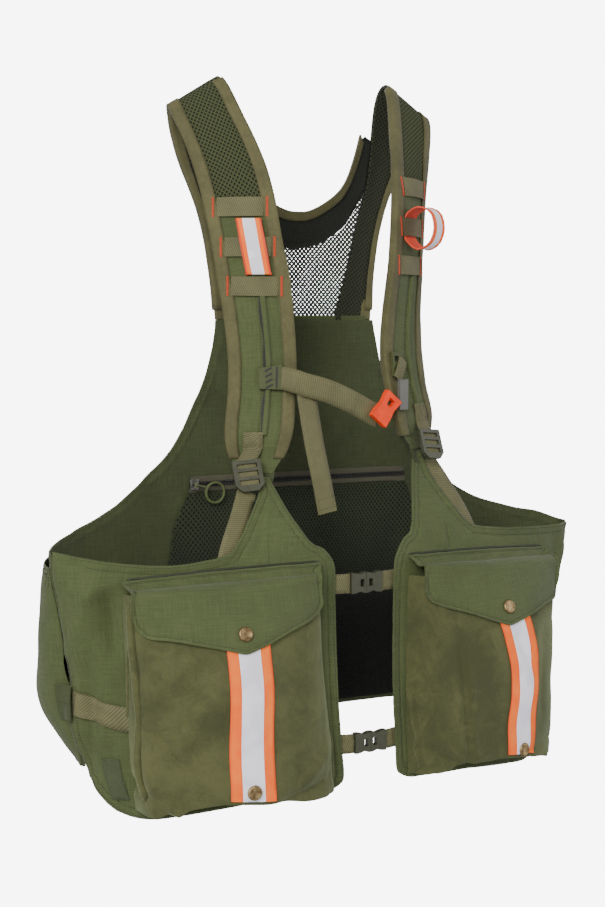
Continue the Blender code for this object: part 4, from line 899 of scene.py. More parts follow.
def patch(name, places, outs, wall, material, slot, turned=False):
    """A small piece laid on cloth: a grid of points for its face, with its wall beneath."""
    places, outs = np.asarray(places, float), np.asarray(outs, float)
    rows, columns = places.shape[:2]
    size = rows * columns
    points = np.concatenate([(places + outs * wall).reshape(-1, 3), places.reshape(-1, 3)])
    grid = np.arange(size).reshape(rows, columns)
    face = np.stack([grid[:-1, :-1], grid[:-1, 1:], grid[1:, 1:], grid[1:, :-1]], axis=-1)
    face = face.reshape(-1, 4)
    faces = np.stack([face, face[:, ::-1] + size], axis=1).reshape(-1, 4).tolist()
    border = [*grid[0], *grid[1:, -1], *grid[-1, -2::-1], *grid[-2:0:-1, 0]]
    faces += [(int(b), int(a), int(a) + size, int(b) + size)
              for a, b in zip(border, border[1:] + border[:1])]
    across, along = reaches(places[rows // 2]), reaches(places[:, columns // 2])
    spread = np.stack(np.meshgrid(across - across.mean() + PATTERN_START, along), axis=2)
    spread = np.tile(spread.reshape(-1, 2), (2, 1))
    return closed_piece(name, points, faces, spread[:, ::-1] if turned else spread, material,
                        sharp=40)


def laid_grid(cloth, rows, lift=0.0):
    """Rows of points dropped on a cloth, with the way out at each, for a patch."""
    places, outs = (np.array(part) for part in zip(*(cloth.lay(row) for row in rows)))
    return places + outs * np.broadcast_to(lift, places.shape[:2])[:, :, None], outs


def fade_in(rest, reach):
    """1 where a strip ends, and 0 from a distance in."""
    return np.clip(1.0 - rest / reach, 0.0, 1.0)[:, None]


WEBBING = webbing("tan webbing", (0.130, 0.124, 0.052))
LABEL_CLOTH = webbing("plain woven label", (0.060, 0.078, 0.030), 0.9)
for word, side in SIDES:
    web = Cloth("side_web_" + word, 1.5, 2).push(front_height(side))
    strip = Strip(web)
    foot, head = strip.at(0.0, 0.5), strip.at(strip.long, 0.5)
    along = strip.spread(web.flat)[:, 1]
    if abs(foot[0]) < abs(head[0]):
        toward, rest, seam = foot - head, along, strip.long - 2.5
    else:
        toward, rest, seam = head - foot, strip.long - along, 3.0
    web.co += unit(toward) * 12.0 * fade_in(rest, 18.0)
    web.done(WEBBING, "webbing", strip.spread, sheet=False)
    row = web.lay([strip.at(seam, share) for share in np.linspace(0.1, 0.9, 14)], 0.05)
    sew("side_web_" + word + "_stitches", [row], GREEN_THREAD, 1.8)
label = Cloth("side_label", 0.8, 2).push(front_height(-1))
label.done(LABEL_CLOTH, "label", around, sheet=False)
sew("side_label_stitches", label.edge(1.4, pitch=2.0), GREEN_THREAD, 1.3, 0.4)


def side_seam(word, side):
    """The strip inside each side seam that joins the front panel to the back, in painted shade."""
    lines = [np.concatenate(cloth.outline(1.5)) for cloth in (fronts[side], back_panel)]
    front, back = (line[line[:, 0] * side > 230] for line in lines)
    low = max(front[:, 2].min(), back[:, 2].min()) + 1.0
    high = min(front[:, 2].max(), back[:, 2].max()) - 2.0
    rows = []
    for z in np.linspace(low, high, 70):
        near, far = (line[np.abs(line[:, 2] - z) < 2.0] for line in (front, back))
        near, far = near[near[:, 1].argmax()], far[far[:, 1].argmin()]
        middle = (near[1] + far[1]) / 2
        deep = min(near[0] * side, far[0] * side) - 3.0
        rows.append([(side * (deep - (y - middle) ** 2 / SEAM_ROUND), y, z)
                     for y in np.linspace(near[1] - 4.5, far[1] + 4.5, 7)])
    outs = np.tile((side, 0.0, 0.0), (len(rows), 7, 1))
    patch("side_seam_" + word, rows, outs, 1.0, RIPSTOP_SHADED, "ripstop")


def calm(points, rounds):
    """Draw each inner point of a line or grid toward its neighbours."""
    for _ in range(rounds):
        points[1:-1] = (points[:-2] + points[1:-1] + points[2:]) / 3


def outermost(cloths, turn, z):
    """The outermost point of some cloths, at a turn round the body and a height."""
    way = np.array([math.sin(turn) * BODY_WIDE, -math.cos(turn) * BODY_DEEP, 0.0])
    start = Vector(BODY_MIDDLE + way * 1.5 + UP * z)
    found = [cloth.surface().ray_cast(start, Vector(-unit(way)), 400.0) for cloth in cloths]
    found = [hit for hit in found if hit[0] is not None and hit[3] < 200.0]
    found = found or [cloth.surface().find_nearest(BODY_MIDDLE + way + UP * z)
                      for cloth in cloths]
    return np.array(min(found, key=lambda hit: hit[3])[0])


def side_tab(word, side):
    """The folded tab over the end of the side webbing, round the side seam, in painted shade."""
    turns = np.radians(np.linspace(80.0, 91.0, TAB_COLUMNS)) * side
    places = np.array([[outermost((fronts[side], back_panel, game_bag), turn, z)
                        for turn in turns] for z in np.linspace(-653.0, -618.0, TAB_ROWS)])
    for _ in range(6):
        calm(places.swapaxes(0, 1), 1)
        calm(places, 1)
    outs = outward(places.reshape(-1, 3)).reshape(places.shape)
    crown = np.sin(np.linspace(0, math.pi, TAB_ROWS))[:, None, None] ** 0.6
    ends = np.sin(np.linspace(0, math.pi, TAB_COLUMNS))[None, :, None] ** 0.5
    places = places + outs * (3.2 + crown * 1.4 + ends * 1.2)
    patch("side_tab_" + word, places, outs, 1.6, RIPSTOP_SHADED, "ripstop")
    row = TAB_ROWS // 2
    line = even(places[row] + outs[row] * 1.65, 1.6)
    sew("side_tab_stitches_" + word, [(line, outward(line))], GREEN_THREAD, 1.3, 0.5)


for word, side in SIDES:
    side_seam(word, side)
    side_tab(word, side)


# Bellows pockets: brushed suede, each face joined to its folded side by a rolled seam, with
# nap that lies both ways and creases that gather at the lower corners.

POCKET_OUT = {side: np.array([side * 0.2243, -0.9745, 0.0]) for _, side in SIDES}
POCKET_SIDE = {side: np.array([side * 0.9745, 0.2243, 0.0]) for _, side in SIDES}
POCKET_CUT = {-1: (0.271, 0.261), 1: (0.271, 0.260)}
POCKET_FOLDS = {
    -1: creases((
        (72, -667, 24, 4.5, -2.6, 48), (86, -722, 24, 5.5, -4.4, 38), (66, -731, 22, 5, 3.8, 22),
        (88, -705, 34, 6, 3.0, 80), (-62, -722, 34, 6, -3.4, -14), (-78, -700, 26, 6, 2.6, -40),
        (-88, -640, 60, 5, -1.4, 90), (40, -610, 60, 16, 1.2, 52), (-52, -650, 70, 12, -1.2, 88),
        (52, -700, 50, 12, 1.6, 8), (-30, -585, 40, 10, -1.0, 12), (18, -655, 70, 6, -1.0, 92),
    )),
    1: creases((
        (-64, -660, 80, 3.2, -2.4, 90), (-58.5, -660, 80, 3.5, 1.6, 90),
        (-80, -716, 26, 6, -2.6, -36), (-64, -704, 28, 6, 1.8, -28),
        (84, -716, 26, 6, -2.6, 34), (66, -726, 24, 5, 2.2, 20),
        (92, -660, 60, 5, 1.6, 88), (-88, -640, 56, 6, 1.4, 90), (46, -640, 60, 13, -1.4, 80),
        (-45, -610, 50, 14, 1.2, 60), (30, -716, 34, 7, -1.6, 6), (70, -590, 36, 9, -1.2, 20),
        (52, -640, 70, 32, 2.6, 90), (12, -606, 30, 6, -2.4, 118),
    )),
}
NAP = {
    -1: creases((
        (72, -610, 46, 12, -0.9, 140), (46, -660, 60, 13, -1.0, 138), (60, -590, 40, 9, 0.7, 138),
        (80, -690, 30, 16, 0.8, 20), (-66, -620, 44, 16, -0.6, 84), (-60, -690, 40, 12, -0.8, 78),
        (-84, -600, 50, 9, 0.5, 88), (30, -705, 30, 11, 0.7, 30), (66, -720, 26, 8, -0.5, 30),
    )),
    1: creases((
        (-64, -600, 44, 15, -0.8, 60), (-70, -680, 46, 15, 0.9, 92), (-40, -640, 60, 12, -0.7, 100),
        (40, -620, 50, 15, 0.6, 70), (62, -680, 46, 16, -0.9, 96), (20, -700, 40, 12, -0.6, 20),
        (80, -610, 50, 11, 0.6, 84), (46, -575, 34, 9, -0.5, 10), (-58, -645, 90, 36, -0.8, 90),
    )),
}


def solid_points(node):
    return coordinates(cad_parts[node].data).reshape(-1, 3) / MM


def pocket_span(word, side):
    """The middle and half width of a pocket, along its own face."""
    reach = solid_points("pocket_" + word) @ POCKET_SIDE[side]
    return (reach.max() + reach.min()) / 2, (reach.max() - reach.min()) / 2


SPAN = {side: pocket_span(word, side) for word, side in SIDES}


def pocket_away(side):
    """Out of a pocket's face, turning to its sides and foot near its edges."""
    middle, half = SPAN[side]

    def away(co):
        share = np.clip((co @ POCKET_SIDE[side] - middle) / half, -1.0, 1.0)
        low = np.clip((-706.0 - co[:, 2]) / 30.0, 0.0, 1.0)
        turn = (np.sign(share) * np.abs(share) ** 9)[:, None] * POCKET_SIDE[side]
        return unit(POCKET_OUT[side] + turn - low[:, None] * UP * 0.5)
    return away


def upright(across):
    """Cloth distances for a nearly flat piece: across it, and up."""
    return lambda co: np.stack([co @ np.asarray(across, float), co[:, 2]], axis=1)


def on_pocket(side, co):
    """A pocket's own plane: outward distance from its middle, with the height."""
    return np.stack([co @ POCKET_SIDE[side] - SPAN[side][0], np.zeros(len(co)), co[:, 2]], axis=1)


def pocket_height(side):
    def height(co):
        spot = on_pocket(side, co)
        open_cloth = np.clip((-560.0 - co[:, 2]) / 40.0, 0.25, 1.0)
        soft = uneven(spot, 38.0, 0.55, 31 + side) + uneven(spot, 95.0, 0.9, 35 + side)
        seams = -1.5 * np.exp(-((np.abs(spot[:, 0]) - SPAN[side][1] * 0.90) / 2.6) ** 2)
        return (POCKET_FOLDS[side](spot) * 1.7 + soft + seams) * open_cloth
    return height


def suede(name, light, dark):
    """Brushed suede: a short nap, streaked where it was stroked the other way."""
    finish = Finish(name, 0.94, sheen=0.45)
    finish.feed(finish.shader, "Sheen Tint", (0.56, 0.66, 0.40, 1.0))
    nap = finish.node("ShaderNodeAttribute", {}, "Fac", attribute_name="nap")
    streak = finish.noise(46.0, 5.0, 0.62, bend=1.4)
    broad = finish.noise(13.0, 4.0, 0.6, bend=0.8)
    fine = finish.noise(420.0, 3.0, 0.7)
    shade = nap * 0.36 + (streak - 0.5) * 1.15 + (broad - 0.5) * 0.9 + (fine - 0.5) * 0.6 + 0.54
    return finish.dress(finish.mix(shade.step(0.0, 1.0), dark, light), fine + streak * 0.4,
                        0.00035, 0.55)


def roll(name, places, outs, wide, high, material, turns=10):
    """A rounded roll of cloth along a seam, half sunk in what it lies on."""
    sides = unit(np.cross(unit(np.gradient(places, axis=0)), outs))
    steps = np.arange(len(places))
    taper = np.clip(np.minimum(steps, steps[::-1]) / 2.0, 0.35, 1.0)[:, None, None]
    angles = np.linspace(0.0, 2 * math.pi, turns, endpoint=False)[None, :, None]
    points = places[:, None] + taper * (sides[:, None] * (wide / 2 * np.cos(angles))
                                        + outs[:, None] * (high * np.sin(angles)))
    faces = [(i * turns + k, (i + 1) * turns + k, (i + 1) * turns + n, i * turns + n)
             for i in range(len(places) - 1) for k in range(turns) for n in ((k + 1) % turns,)]
    last = (len(places) - 1) * turns
    faces += [tuple(range(turns)), tuple(range(last + turns - 1, last - 1, -1))]
    spread = np.stack(np.meshgrid(np.arange(turns) * wide * 0.3, reaches(places)), axis=2)
    closed_piece(name, points.reshape(-1, 3), faces, spread.reshape(-1, 2), material)


def seam_roll(word, side, label, share):
    """The rolled seam down one edge of a pocket's face, with its thread beside it."""
    middle, half = SPAN[side]
    pocket, out, aside = pockets[side], POCKET_OUT[side], POCKET_SIDE[side]
    line = [aside * (middle + half * share) + out * 260.0 + UP * z
            for z in np.linspace(-546.0, -722.0, 60)]
    hits = [(pocket.cast(point, -out, 140.0), point) for point in line]
    hits = [(hit, pocket.away_of(np.array([point]))[0]) for hit, point in hits if hit is not None]
    places, outs = (np.array(part) for part in zip(*hits))
    roll("pocket_roll_" + label + "_" + word, places, outs, 4.6, 1.9, SUEDE)
    beside = places[2:-2] - aside * math.copysign(4.0, share)
    sew("pocket_seam_" + label + "_" + word, [pocket.lay(even(beside), THREAD_LIFT)],
        GREEN_THREAD, 2.0, 0.45)


def gusset_fold(word, side):
    """The thick fold that runs down a pocket's outer side."""
    middle, half = SPAN[side]
    pocket, out, aside = pockets[side], POCKET_OUT[side], POCKET_SIDE[side]
    places = []
    for z in np.linspace(-532.0, -724.0, 60):
        face = pocket.surface().find_nearest(
            Vector(aside * (middle + half * 0.95) + out * 215.0 + UP * z))[0]
        start = aside * (middle + half + 60.0) + out * (out @ face - 13.0) + UP * z
        places.append(pocket.cast(start, -aside, 120.0))
    places = even(np.array([place for place in places if place is not None]), 3.0)
    calm(places, 4)
    outs = np.tile(aside + out * 0.3, (len(places), 1)) / math.hypot(1.0, 0.3)
    swing = uneven(places, 60.0, 1.2, 91)[:, None] + 0.6
    roll("pocket_gusset_" + word, places + outs * swing, outs, 9.0, 4.4, SUEDE)


SUEDE = suede("olive suede", (0.092, 0.098, 0.035), (0.046, 0.052, 0.017))
pockets = {}
for word, side in SIDES:
    pocket = pockets[side] = Cloth("pocket_" + word, PANEL_WALL, 3, pocket_away(side))
    pocket.push(pocket_height(side))
    spot = on_pocket(side, pocket.flat)
    nap = NAP[side](spot) + uneven(spot, 60.0, 0.25, 77 + side)
    layer = pocket.object.data.attributes.new("nap", "FLOAT", "POINT")
    layer.data.foreach_set("value", nap.astype(np.float32))
    pocket.done(SUEDE, "suede", upright(POCKET_SIDE[side]), cut=POCKET_CUT[side])
    seam_roll(word, side, "outer", 0.965)
    seam_roll(word, side, "inner", -0.965)
    gusset_fold(word, side)


# Pocket flaps: ripstop, sewn along the panel over each pocket's mouth, turned down over it and
# snapped. A row of thread holds the top, and one follows the edge.

FLAP_CUT = (0.206, 0.104)
FLAP_HEM = 3.6
FLAP_FOLD = -516.0
FLAP_FOLDS = {
    -1: creases((
        (86, -528, 18, 9, 1.2, 70), (0, -521, 96, 2.6, -0.9, 0), (-60, -545, 40, 8, 0.9, -20),
        (58, -560, 36, 7, -0.9, 10), (94, -545, 14, 6, -1.2, 80),
    )),
    1: creases((
        (-84, -530, 18, 9, 1.2, 110), (0, -520, 96, 2.6, -0.9, 0), (50, -543, 40, 8, 0.9, 15),
        (-50, -560, 36, 7, -0.8, -12), (92, -542, 14, 6, -1.2, 84),
    )),
}
ROOF_WAVES = ((2.0, 3.0, 0.6), (12.0, 5.0, -3.6), (24.0, 8.0, 0.7))


def flap_height(side):
    """A flap's own fullness, and what it takes from the pocket under it."""
    def height(co):
        spot = on_pocket(side, co)
        free = np.clip((FLAP_FOLD - co[:, 2]) / 14.0, 0.0, 1.0)
        own = np.maximum(FLAP_FOLDS[side](spot) + uneven(spot, 40.0, 0.5, 41 + side), -0.9)
        return own * free + pocket_height(side)(co) * free
    return height


def flap_top(cloth, side):
    """The upper edge of a flap, in even steps along it."""
    rim = np.concatenate(cloth.outline(2.0))
    across = on_pocket(side, rim)[:, 0]
    steps = np.linspace(across.min() + 1.0, across.max() - 1.0, 60)
    near = [rim[np.abs(across - x) < 4.0] for x in steps]
    return even([some[some[:, 2].argmax()] for some in near], 3.0)


def dip_roof(cloth, side, top):
    """Lower the cloth just beyond the seam of a flap's top, and raise what follows."""
    spot, rim = on_pocket(side, cloth.flat), on_pocket(side, top)
    order = np.argsort(rim[:, 0])
    start = np.interp(spot[:, 0], rim[order, 0], (top @ POCKET_OUT[side])[order])
    out = cloth.flat @ POCKET_OUT[side] - start
    drop = sum(high * np.exp(-((out - at) / wide) ** 2) for at, wide, high in ROOF_WAVES)
    drop = drop * np.clip((cloth.flat[:, 2] + 530.0) / 10.0, 0.0, 1.0)
    cloth.co[:, 2] += drop * np.clip((SPAN[side][1] - np.abs(spot[:, 0])) / 14.0, 0.2, 1.0)
    cloth.tree = None


def flap_seam(word, side, top):
    """The rolled edge along a flap's top, and painted shade in the crease where it meets the panel.
    """
    slope = POCKET_OUT[side] * 0.91 - UP * 0.42
    normal = POCKET_OUT[side] * 0.42 + UP * 0.91
    calm(top, 3)
    swell = uneven(top, 30.0, 0.25, 45)[:, None] * normal
    roll("flap_roll_" + word, top + slope * 1.9 + swell, np.tile(normal, (len(top), 1)), 3.6, 1.5,
         RIPSTOP)
    crease, outs = fronts[side].lay(top + UP * 1.3, snap=8.0)
    # A thin dark roll in the crease: painted shade.
    roll("flap_crease_shade_" + word, crease, outs, 2.6, 0.4, SEAM_SHADE)


def hanging(p):
    return p[2] < FLAP_FOLD


for word, side in SIDES:
    flap = Cloth("flap_" + word, 2.0, 3, pocket_away(side))
    top = flap_top(flap, side)
    flap.push(flap_height(side))
    dip_roof(flap, side, top)
    flap.hem(FLAP_HEM, 0.85, hanging, seed=7)
    flap.done(RIPSTOP, "ripstop", upright(POCKET_SIDE[side]), cut=FLAP_CUT)
    flap_seam(word, side, top)
    sew("flap_" + word + "_stitches", flap.edge(3.2, hanging, pitch=2.6)
        + flap.edge(5.6, lambda p: p[2] > -520, pitch=2.6), PALE_THREAD, 1.7, 0.8)


# Marker tapes: orange tape with a silver stripe sewn down the middle of each pocket, with
# thread along both edges and both sides of the stripe.

MARKER_GLOW = 0.13
TAPE_BOW = {-1: ((0.36, 0.26, -3.4),), 1: ((0.46, 0.26, 10.0), (0.02, 0.14, -3.0))}


def marker(name, half_stripe, edge):
    """Fluorescent orange tape with a silver stripe of tiny glass beads down its middle."""
    finish = Finish(name, 0.6, gloss=0.15)
    u, v = finish.cloth()
    off = u.math("ABSOLUTE")
    stripe = 1.0 - off.step(half_stripe - 0.15, half_stripe + 0.15)
    cloud = finish.noise(60.0).step(0.3, 0.7)
    orange = finish.mix(cloud, (0.98, 0.135, 0.014), (1.0, 0.21, 0.026))
    orange = finish.mix(off.step(edge - 2.2, edge - 0.6), orange, (0.88, 0.085, 0.014))
    facets = finish.noise(36.0, 1.0).step(0.42, 0.55)
    silver = finish.mix(facets, (0.80, 0.80, 0.90), (0.92, 0.92, 1.0))
    # Painted glow: it brightens the orange in place of its fluorescence, and on the silver stripe
    # it is a painted highlight of the beads.
    finish.feed(finish.shader, "Emission Strength", MARKER_GLOW)
    glow = {"Emission Color": finish.mix(stripe, (1.0, 0.22, 0.05), (0.72, 0.72, 0.84))}
    return finish.dress(finish.mix(stripe, orange, silver),
                        (u / 0.8).wave() * (v / 0.8).wave() + stripe * 0.6, 0.0002, 0.6, **glow)


def box_of(node):
    return np.array(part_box(node)) / MM


def tape_bow(word, side, co):
    """How far a tape lies to the side of straight, as it was sewn over a full pocket."""
    low, high = box_of("marker_tape_" + word)
    share = (high[2] - co[:, 2]) / (high[2] - low[2])
    total = sum(far * np.exp(-((share - at) / wide) ** 2) for at, wide, far in TAPE_BOW[side])
    fade = np.clip((0.92 - share) / 0.34, 0.0, 1.0)
    return POCKET_SIDE[side] * (total * fade * fade * (3.0 - 2.0 * fade))[:, None]


def pocket_face(side, co):
    """How far out a pocket's face stands at each point."""
    out = POCKET_OUT[side]
    hits = [pockets[side].cast(point + out * 60.0, -out, 120.0) for point in co]
    return np.array([np.nan if hit is None else hit @ out for hit in hits])


MARKER = marker("marker tape", 11.4, 23.0)
ORANGE_THREAD = thread("orange thread", (0.85, 0.10, 0.035))
for word, side in SIDES:
    tape = Cloth("marker_tape_" + word, 1.0, 3, pocket_away(side)).push(pocket_height(side))
    bow = tape_bow(word, side, tape.flat)
    change = pocket_face(side, tape.flat + bow) - pocket_face(side, tape.flat)
    tape.co = tape.co + bow + POCKET_OUT[side] * np.nan_to_num(change)[:, None]
    strip = Strip(tape)
    tape.done(MARKER, "hivis", strip.spread)
    rows = []
    wide = strip.wide.mean()
    for inset in (1.8, wide / 2 - 12.4):
        for share in (inset / wide, 1 - inset / wide):
            line = even([strip.at(v, share) for v in np.linspace(2.0, strip.long - 2.0, 60)], 2.8)
            rows.append(tape.lay(line + tape_bow(word, side, line), 0.05))
    sew("marker_tape_stitches_" + word, rows, ORANGE_THREAD, 1.9, 0.4)


# Snaps: aged brass caps, spun from sheet with a rolled rim and a shallow dished middle. Each
# takes the place of its plain solid.

CAP_PROFILE = ((0.0, 1.55), (2.4, 1.6), (4.2, 1.75), (4.9, 1.95), (5.5, 2.15), (6.2, 2.1),
               (6.8, 1.75), (7.2, 1.2), (7.4, 0.6), (7.4, 0.0), (0.0, 0.0))


def snap_cap(node, turns=48):
    """A finer turned cap on the place of a snap's solid."""
    points = solid_points(node)
    middle = points.mean(axis=0)
    axis = np.linalg.eigh(np.cov((points - middle).T))[1][:, 0]
    if axis[1] > 0:
        axis = -axis
    foot = middle + axis * ((points @ axis).min() - middle @ axis)
    side = unit(np.cross(axis, UP))
    up = np.cross(side, axis)
    points, rings = [], []
    for radius, lift in CAP_PROFILE:
        angles = np.linspace(0, 2 * math.pi, turns, endpoint=False) if radius else [0.0]
        rings.append([len(points) + (k if radius else 0) for k in range(turns)])
        points += [foot + axis * lift + (side * math.cos(a) + up * math.sin(a)) * radius
                   for a in angles]
    faces = [tuple(dict.fromkeys((first[k], second[k], second[n], first[n])))
             for first, second in zip(rings, rings[1:])
             for k, n in enumerate([*range(1, turns), 0])]
    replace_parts(closed_piece(node + "_cap", points, faces, None, BRASS, sharp=60), node)


BRASS = cast_metal("aged brass", (0.46, 0.34, 0.17), (0.22, 0.145, 0.07), 0.4)
for word, side in SIDES:
    snap_cap("flap_snap_" + word)
    snap_cap("tape_snap_" + word)


# Shoulder straps: foam between an outer face of open mesh, plain ripstop below the top bar,
# and a dark mesh lining. Tape folded over both long edges is sewn down along its inner edge.

BAR_NAMES = ("top", "middle", "low")
BINDING_SHARES = (("outer", 0.835), ("inner", 0.165))


def over_shoulder(co):
    """Away from inside the straps' arch over the shoulder."""
    return unit(np.stack([np.zeros(len(co)), co[:, 1] + 38.0,
                          np.maximum(co[:, 2] + 92.0, 0.0)], axis=1))


def strap_faces(strip, top):
    """Mesh above the top bar, ripstop below it, lining inside, and tape round the end."""
    def pick(centres, part):
        across, along = strip.spread(centres).T
        face = np.where(part == 0, np.where(along > top, 0, 1), 2)
        edged = (along > strip.long - 16.0) & (across > strip.wide[-1] / 2 - 13.0)
        return np.where(edged, 3, face)
    return pick


def tape_cloth(name, colour):
    """Woven edging tape, with fine ribs and uneven wear."""
    finish = Finish(name, sheen=0.1)
    y, z = finish.split(finish.place(), 1, 2)
    rib = ((z + y * 0.6) * 900.0).wave()
    cloud, slub = finish.noise(30.0), finish.noise(260.0, 2.0)
    shade = (cloud - 0.5) * 1.1 + (slub - 0.5) * 0.5 + rib * 0.2 + 0.4
    return finish.dress(finish.shades(shade.step(0.0, 1.0), colour, 0.6, 1.2),
                        rib * 0.5 + slub * 0.5, 0.0002, 0.6)


def ride_along(side, low, high, share, pitch, lift, cloth):
    """A row of points along a strap, at a share across it."""
    steps = np.linspace(low, high, max(2, int((high - low) / 6)))
    return cloth.lay(even([strips[side].at(v, share) for v in steps], pitch), lift)


def binding_of(edge, word, side):
    node = "strap_binding_" + edge + "_" + word
    return Cloth(node, 1.0, 2, strips[side].away, sharp=True)


STRAP_MESH = spacer_mesh("green spacer mesh", (0.055, 0.066, 0.023), (0.003, 0.005, 0.0025),
                         4.9, 5.6)
STRAP_INSIDE = spacer_mesh("strap lining mesh", (0.030, 0.034, 0.016), (0.006, 0.007, 0.004),
                           5.0, 5.6)
BINDING = tape_cloth("khaki edging tape", (0.104, 0.097, 0.037))
straps, strips, bars_at = {}, {}, {}
for word, side in SIDES:
    strap = straps[side] = Cloth("strap_" + word, 5.0, 3, over_shoulder)
    strip = strips[side] = Strip(strap).face_out(over_shoulder)
    strap.away_of = strip.away
    bars_at[side] = {name: strip.reach_of(box_of("bar_" + name + "_" + word).mean(axis=0))
                     for name in BAR_NAMES}
    strap.done(STRAP_MESH, "mesh", strip.spread, padded=0.8,
               others=(RIPSTOP, STRAP_INSIDE, BINDING),
               pick=strap_faces(strip, bars_at[side]["top"]))
for word, side in SIDES:
    rows = []
    for edge, share in BINDING_SHARES:
        binding = binding_of(edge, word, side).push(lambda co: uneven(co, 26.0, 0.25, 51))
        binding.done(BINDING, "binding", strips[side].spread, sheet=False)
        reach = strips[side].spread(binding.flat)[:, 1]
        rows.append(ride_along(side, reach.min() + 3, reach.max() - 3, share, 2.8, 0.05, binding))
    sew("strap_binding_stitches_" + word, rows, GREEN_THREAD, 1.9, 0.45)


# Bars: three lengths of webbing across each strap with their ends under the edging tape, where
# a short orange bar tack on the tape holds each end.

BAR_TUCK, TACK_SHARE = 0.125, 0.062


def bar_strip(name, word, side):
    """A bar's own length and width, from its solid."""
    cloth = Cloth("bar_" + name + "_" + word, 1.5, 1, strips[side].away)
    strip = Strip(cloth)
    bpy.data.objects.remove(cloth.object, do_unlink=True)
    return strip


def bar(name, word, side):
    """A bar of webbing that hangs a little free between its two tucked ends."""
    strip = bar_strip(name, word, side)
    shares = np.linspace(BAR_TUCK, 1 - BAR_TUCK, 19)
    rows = [[strip.at(strip.long * along, across) for along in shares]
            for across in np.linspace(0, 1, 9)]
    hang = np.sin(np.clip((shares - BAR_TUCK) / (1 - 2 * BAR_TUCK), 0, 1) * math.pi) ** 0.55
    places, outs = laid_grid(straps[side], rows, 0.35 + hang * 1.5)
    node = "bar_" + name + "_" + word
    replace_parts(patch(node + "_web", places, outs, 1.3, WEBBING, "webbing", turned=True), node)


def bar_tacks(word, side):
    """Close zigzags of orange thread down the tape at both ends of each bar."""
    rows = []
    tapes = {edge: binding_of(edge, word, side) for edge, _ in BINDING_SHARES}
    for name in BAR_NAMES:
        strip = bar_strip(name, word, side)
        for share in (TACK_SHARE, 1 - TACK_SHARE):
            line = np.array([strip.at(strip.long * share, across)
                             for across in np.linspace(0, 1, 8)])
            inner = abs(line[:, 0].mean()) < abs(strip.at(strip.long / 2, 0.5)[0])
            laid, outs = tapes["inner" if inner else "outer"].lay(even(line, 0.85), 0.3)
            across = unit(np.cross(np.gradient(laid, axis=0), outs)) * 0.6
            rows += [(np.array([place - way, place + way]), np.array([out, out]))
                     for place, out, way in zip(laid, outs, across)]
    sew("bar_tacks_" + word, rows, ORANGE_THREAD, 1.7, 0.9)
    for tape in tapes.values():
        bpy.data.objects.remove(tape.object, do_unlink=True)


for word, side in SIDES:
    for name in BAR_NAMES:
        bar(name, word, side)
    bar_tacks(word, side)


# Marker loops: orange tape with a silver stripe, threaded on each middle bar, pressed flat on
# the right strap and standing out on the left.

LOOP_ORANGE = thread("plain orange tape", (0.90, 0.090, 0.035))
LOOP_MARKER = marker("marker loop tape", 6.6, 12.5)
LOOP_ROUND = 20.0


def marker_loop(word, side):
    """Tape in a closed loop: the stripe outside, plain orange inside."""
    hollow = solid_points("marker_loop_" + word).mean(axis=0)

    def from_hollow(co):
        return unit(co - hollow)

    loop = Cloth("marker_loop_" + word, 0.6, 3, from_hollow)
    edges = [np.mean(chain[:-1], axis=0) for chain in loop.outlines[:2]]
    strip = strips[side]
    step = strip.step_of(hollow)
    ways = np.linalg.inv(np.stack([unit(edges[1] - edges[0]), strip.along[step], strip.out[step]],
                                  axis=1))

    def spread(co):
        parts = (co - hollow) @ ways.T
        return np.stack([parts[:, 0], np.arctan2(parts[:, 1], parts[:, 2]) * LOOP_ROUND], axis=1)

    loop.done(LOOP_MARKER, "hivis", spread, sheet=False, others=(LOOP_ORANGE,),
              pick=lambda centres, part: np.where(part == 0, 0, 1))
    for number, line in enumerate(loop.outline(1.6)[:2]):
        roll("marker_loop_edge_" + word + "_" + str(number), line, from_hollow(line), 2.6, 0.9,
             LOOP_ORANGE)


for word, side in SIDES:
    marker_loop(word, side)


# Folded rails below the bars: on each strap a narrow fold of ripstop is sewn down, for the chest
# sliders to ride on, with thread beside it and a strip of painted shadow in the slit under its
# edge. The strap ends in a rounded tongue of its own cloth.

RAIL = {-1: (0.36, 0.45, 0.49), 1: (0.52, 0.60, 0.47)}
RAIL_FOOT = 34.0
RAIL_CROWN = np.array([0.1, 1.9, 2.6, 2.6, 2.2, 1.2])
TONGUE_LONG = 26.0


def rail(word, side):
    near, far, seam = RAIL[side]
    strap, at = straps[side], strips[side].at
    top = bars_at[side]["low"] - 11.0
    levels = np.linspace(RAIL_FOOT, top, 60)
    fold = [[at(v, share) for share in np.linspace(near, far, 6)] for v in levels]
    slit = [[at(v, far + a) for a in (0.0, 0.028 + 0.012 * math.sin(v * 0.13))] for v in levels]
    patch("strap_rail_" + word, *laid_grid(strap, fold, RAIL_CROWN), 0.9, RIPSTOP, "ripstop")
    # A thin dark strip of painted shadow stands for the slit under the fold's edge.
    patch("strap_rail_slit_" + word, *laid_grid(strap, slit, 0.05), 0.35, PAINTED_SHADOW, "ripstop")
    rows = [ride_along(side, RAIL_FOOT, top, share, 3.0, THREAD_LIFT, strap)
            for share in (seam, seam + 0.02)]
    sew("strap_rail_stitches_" + word, rows, GREEN_THREAD, 2.0)


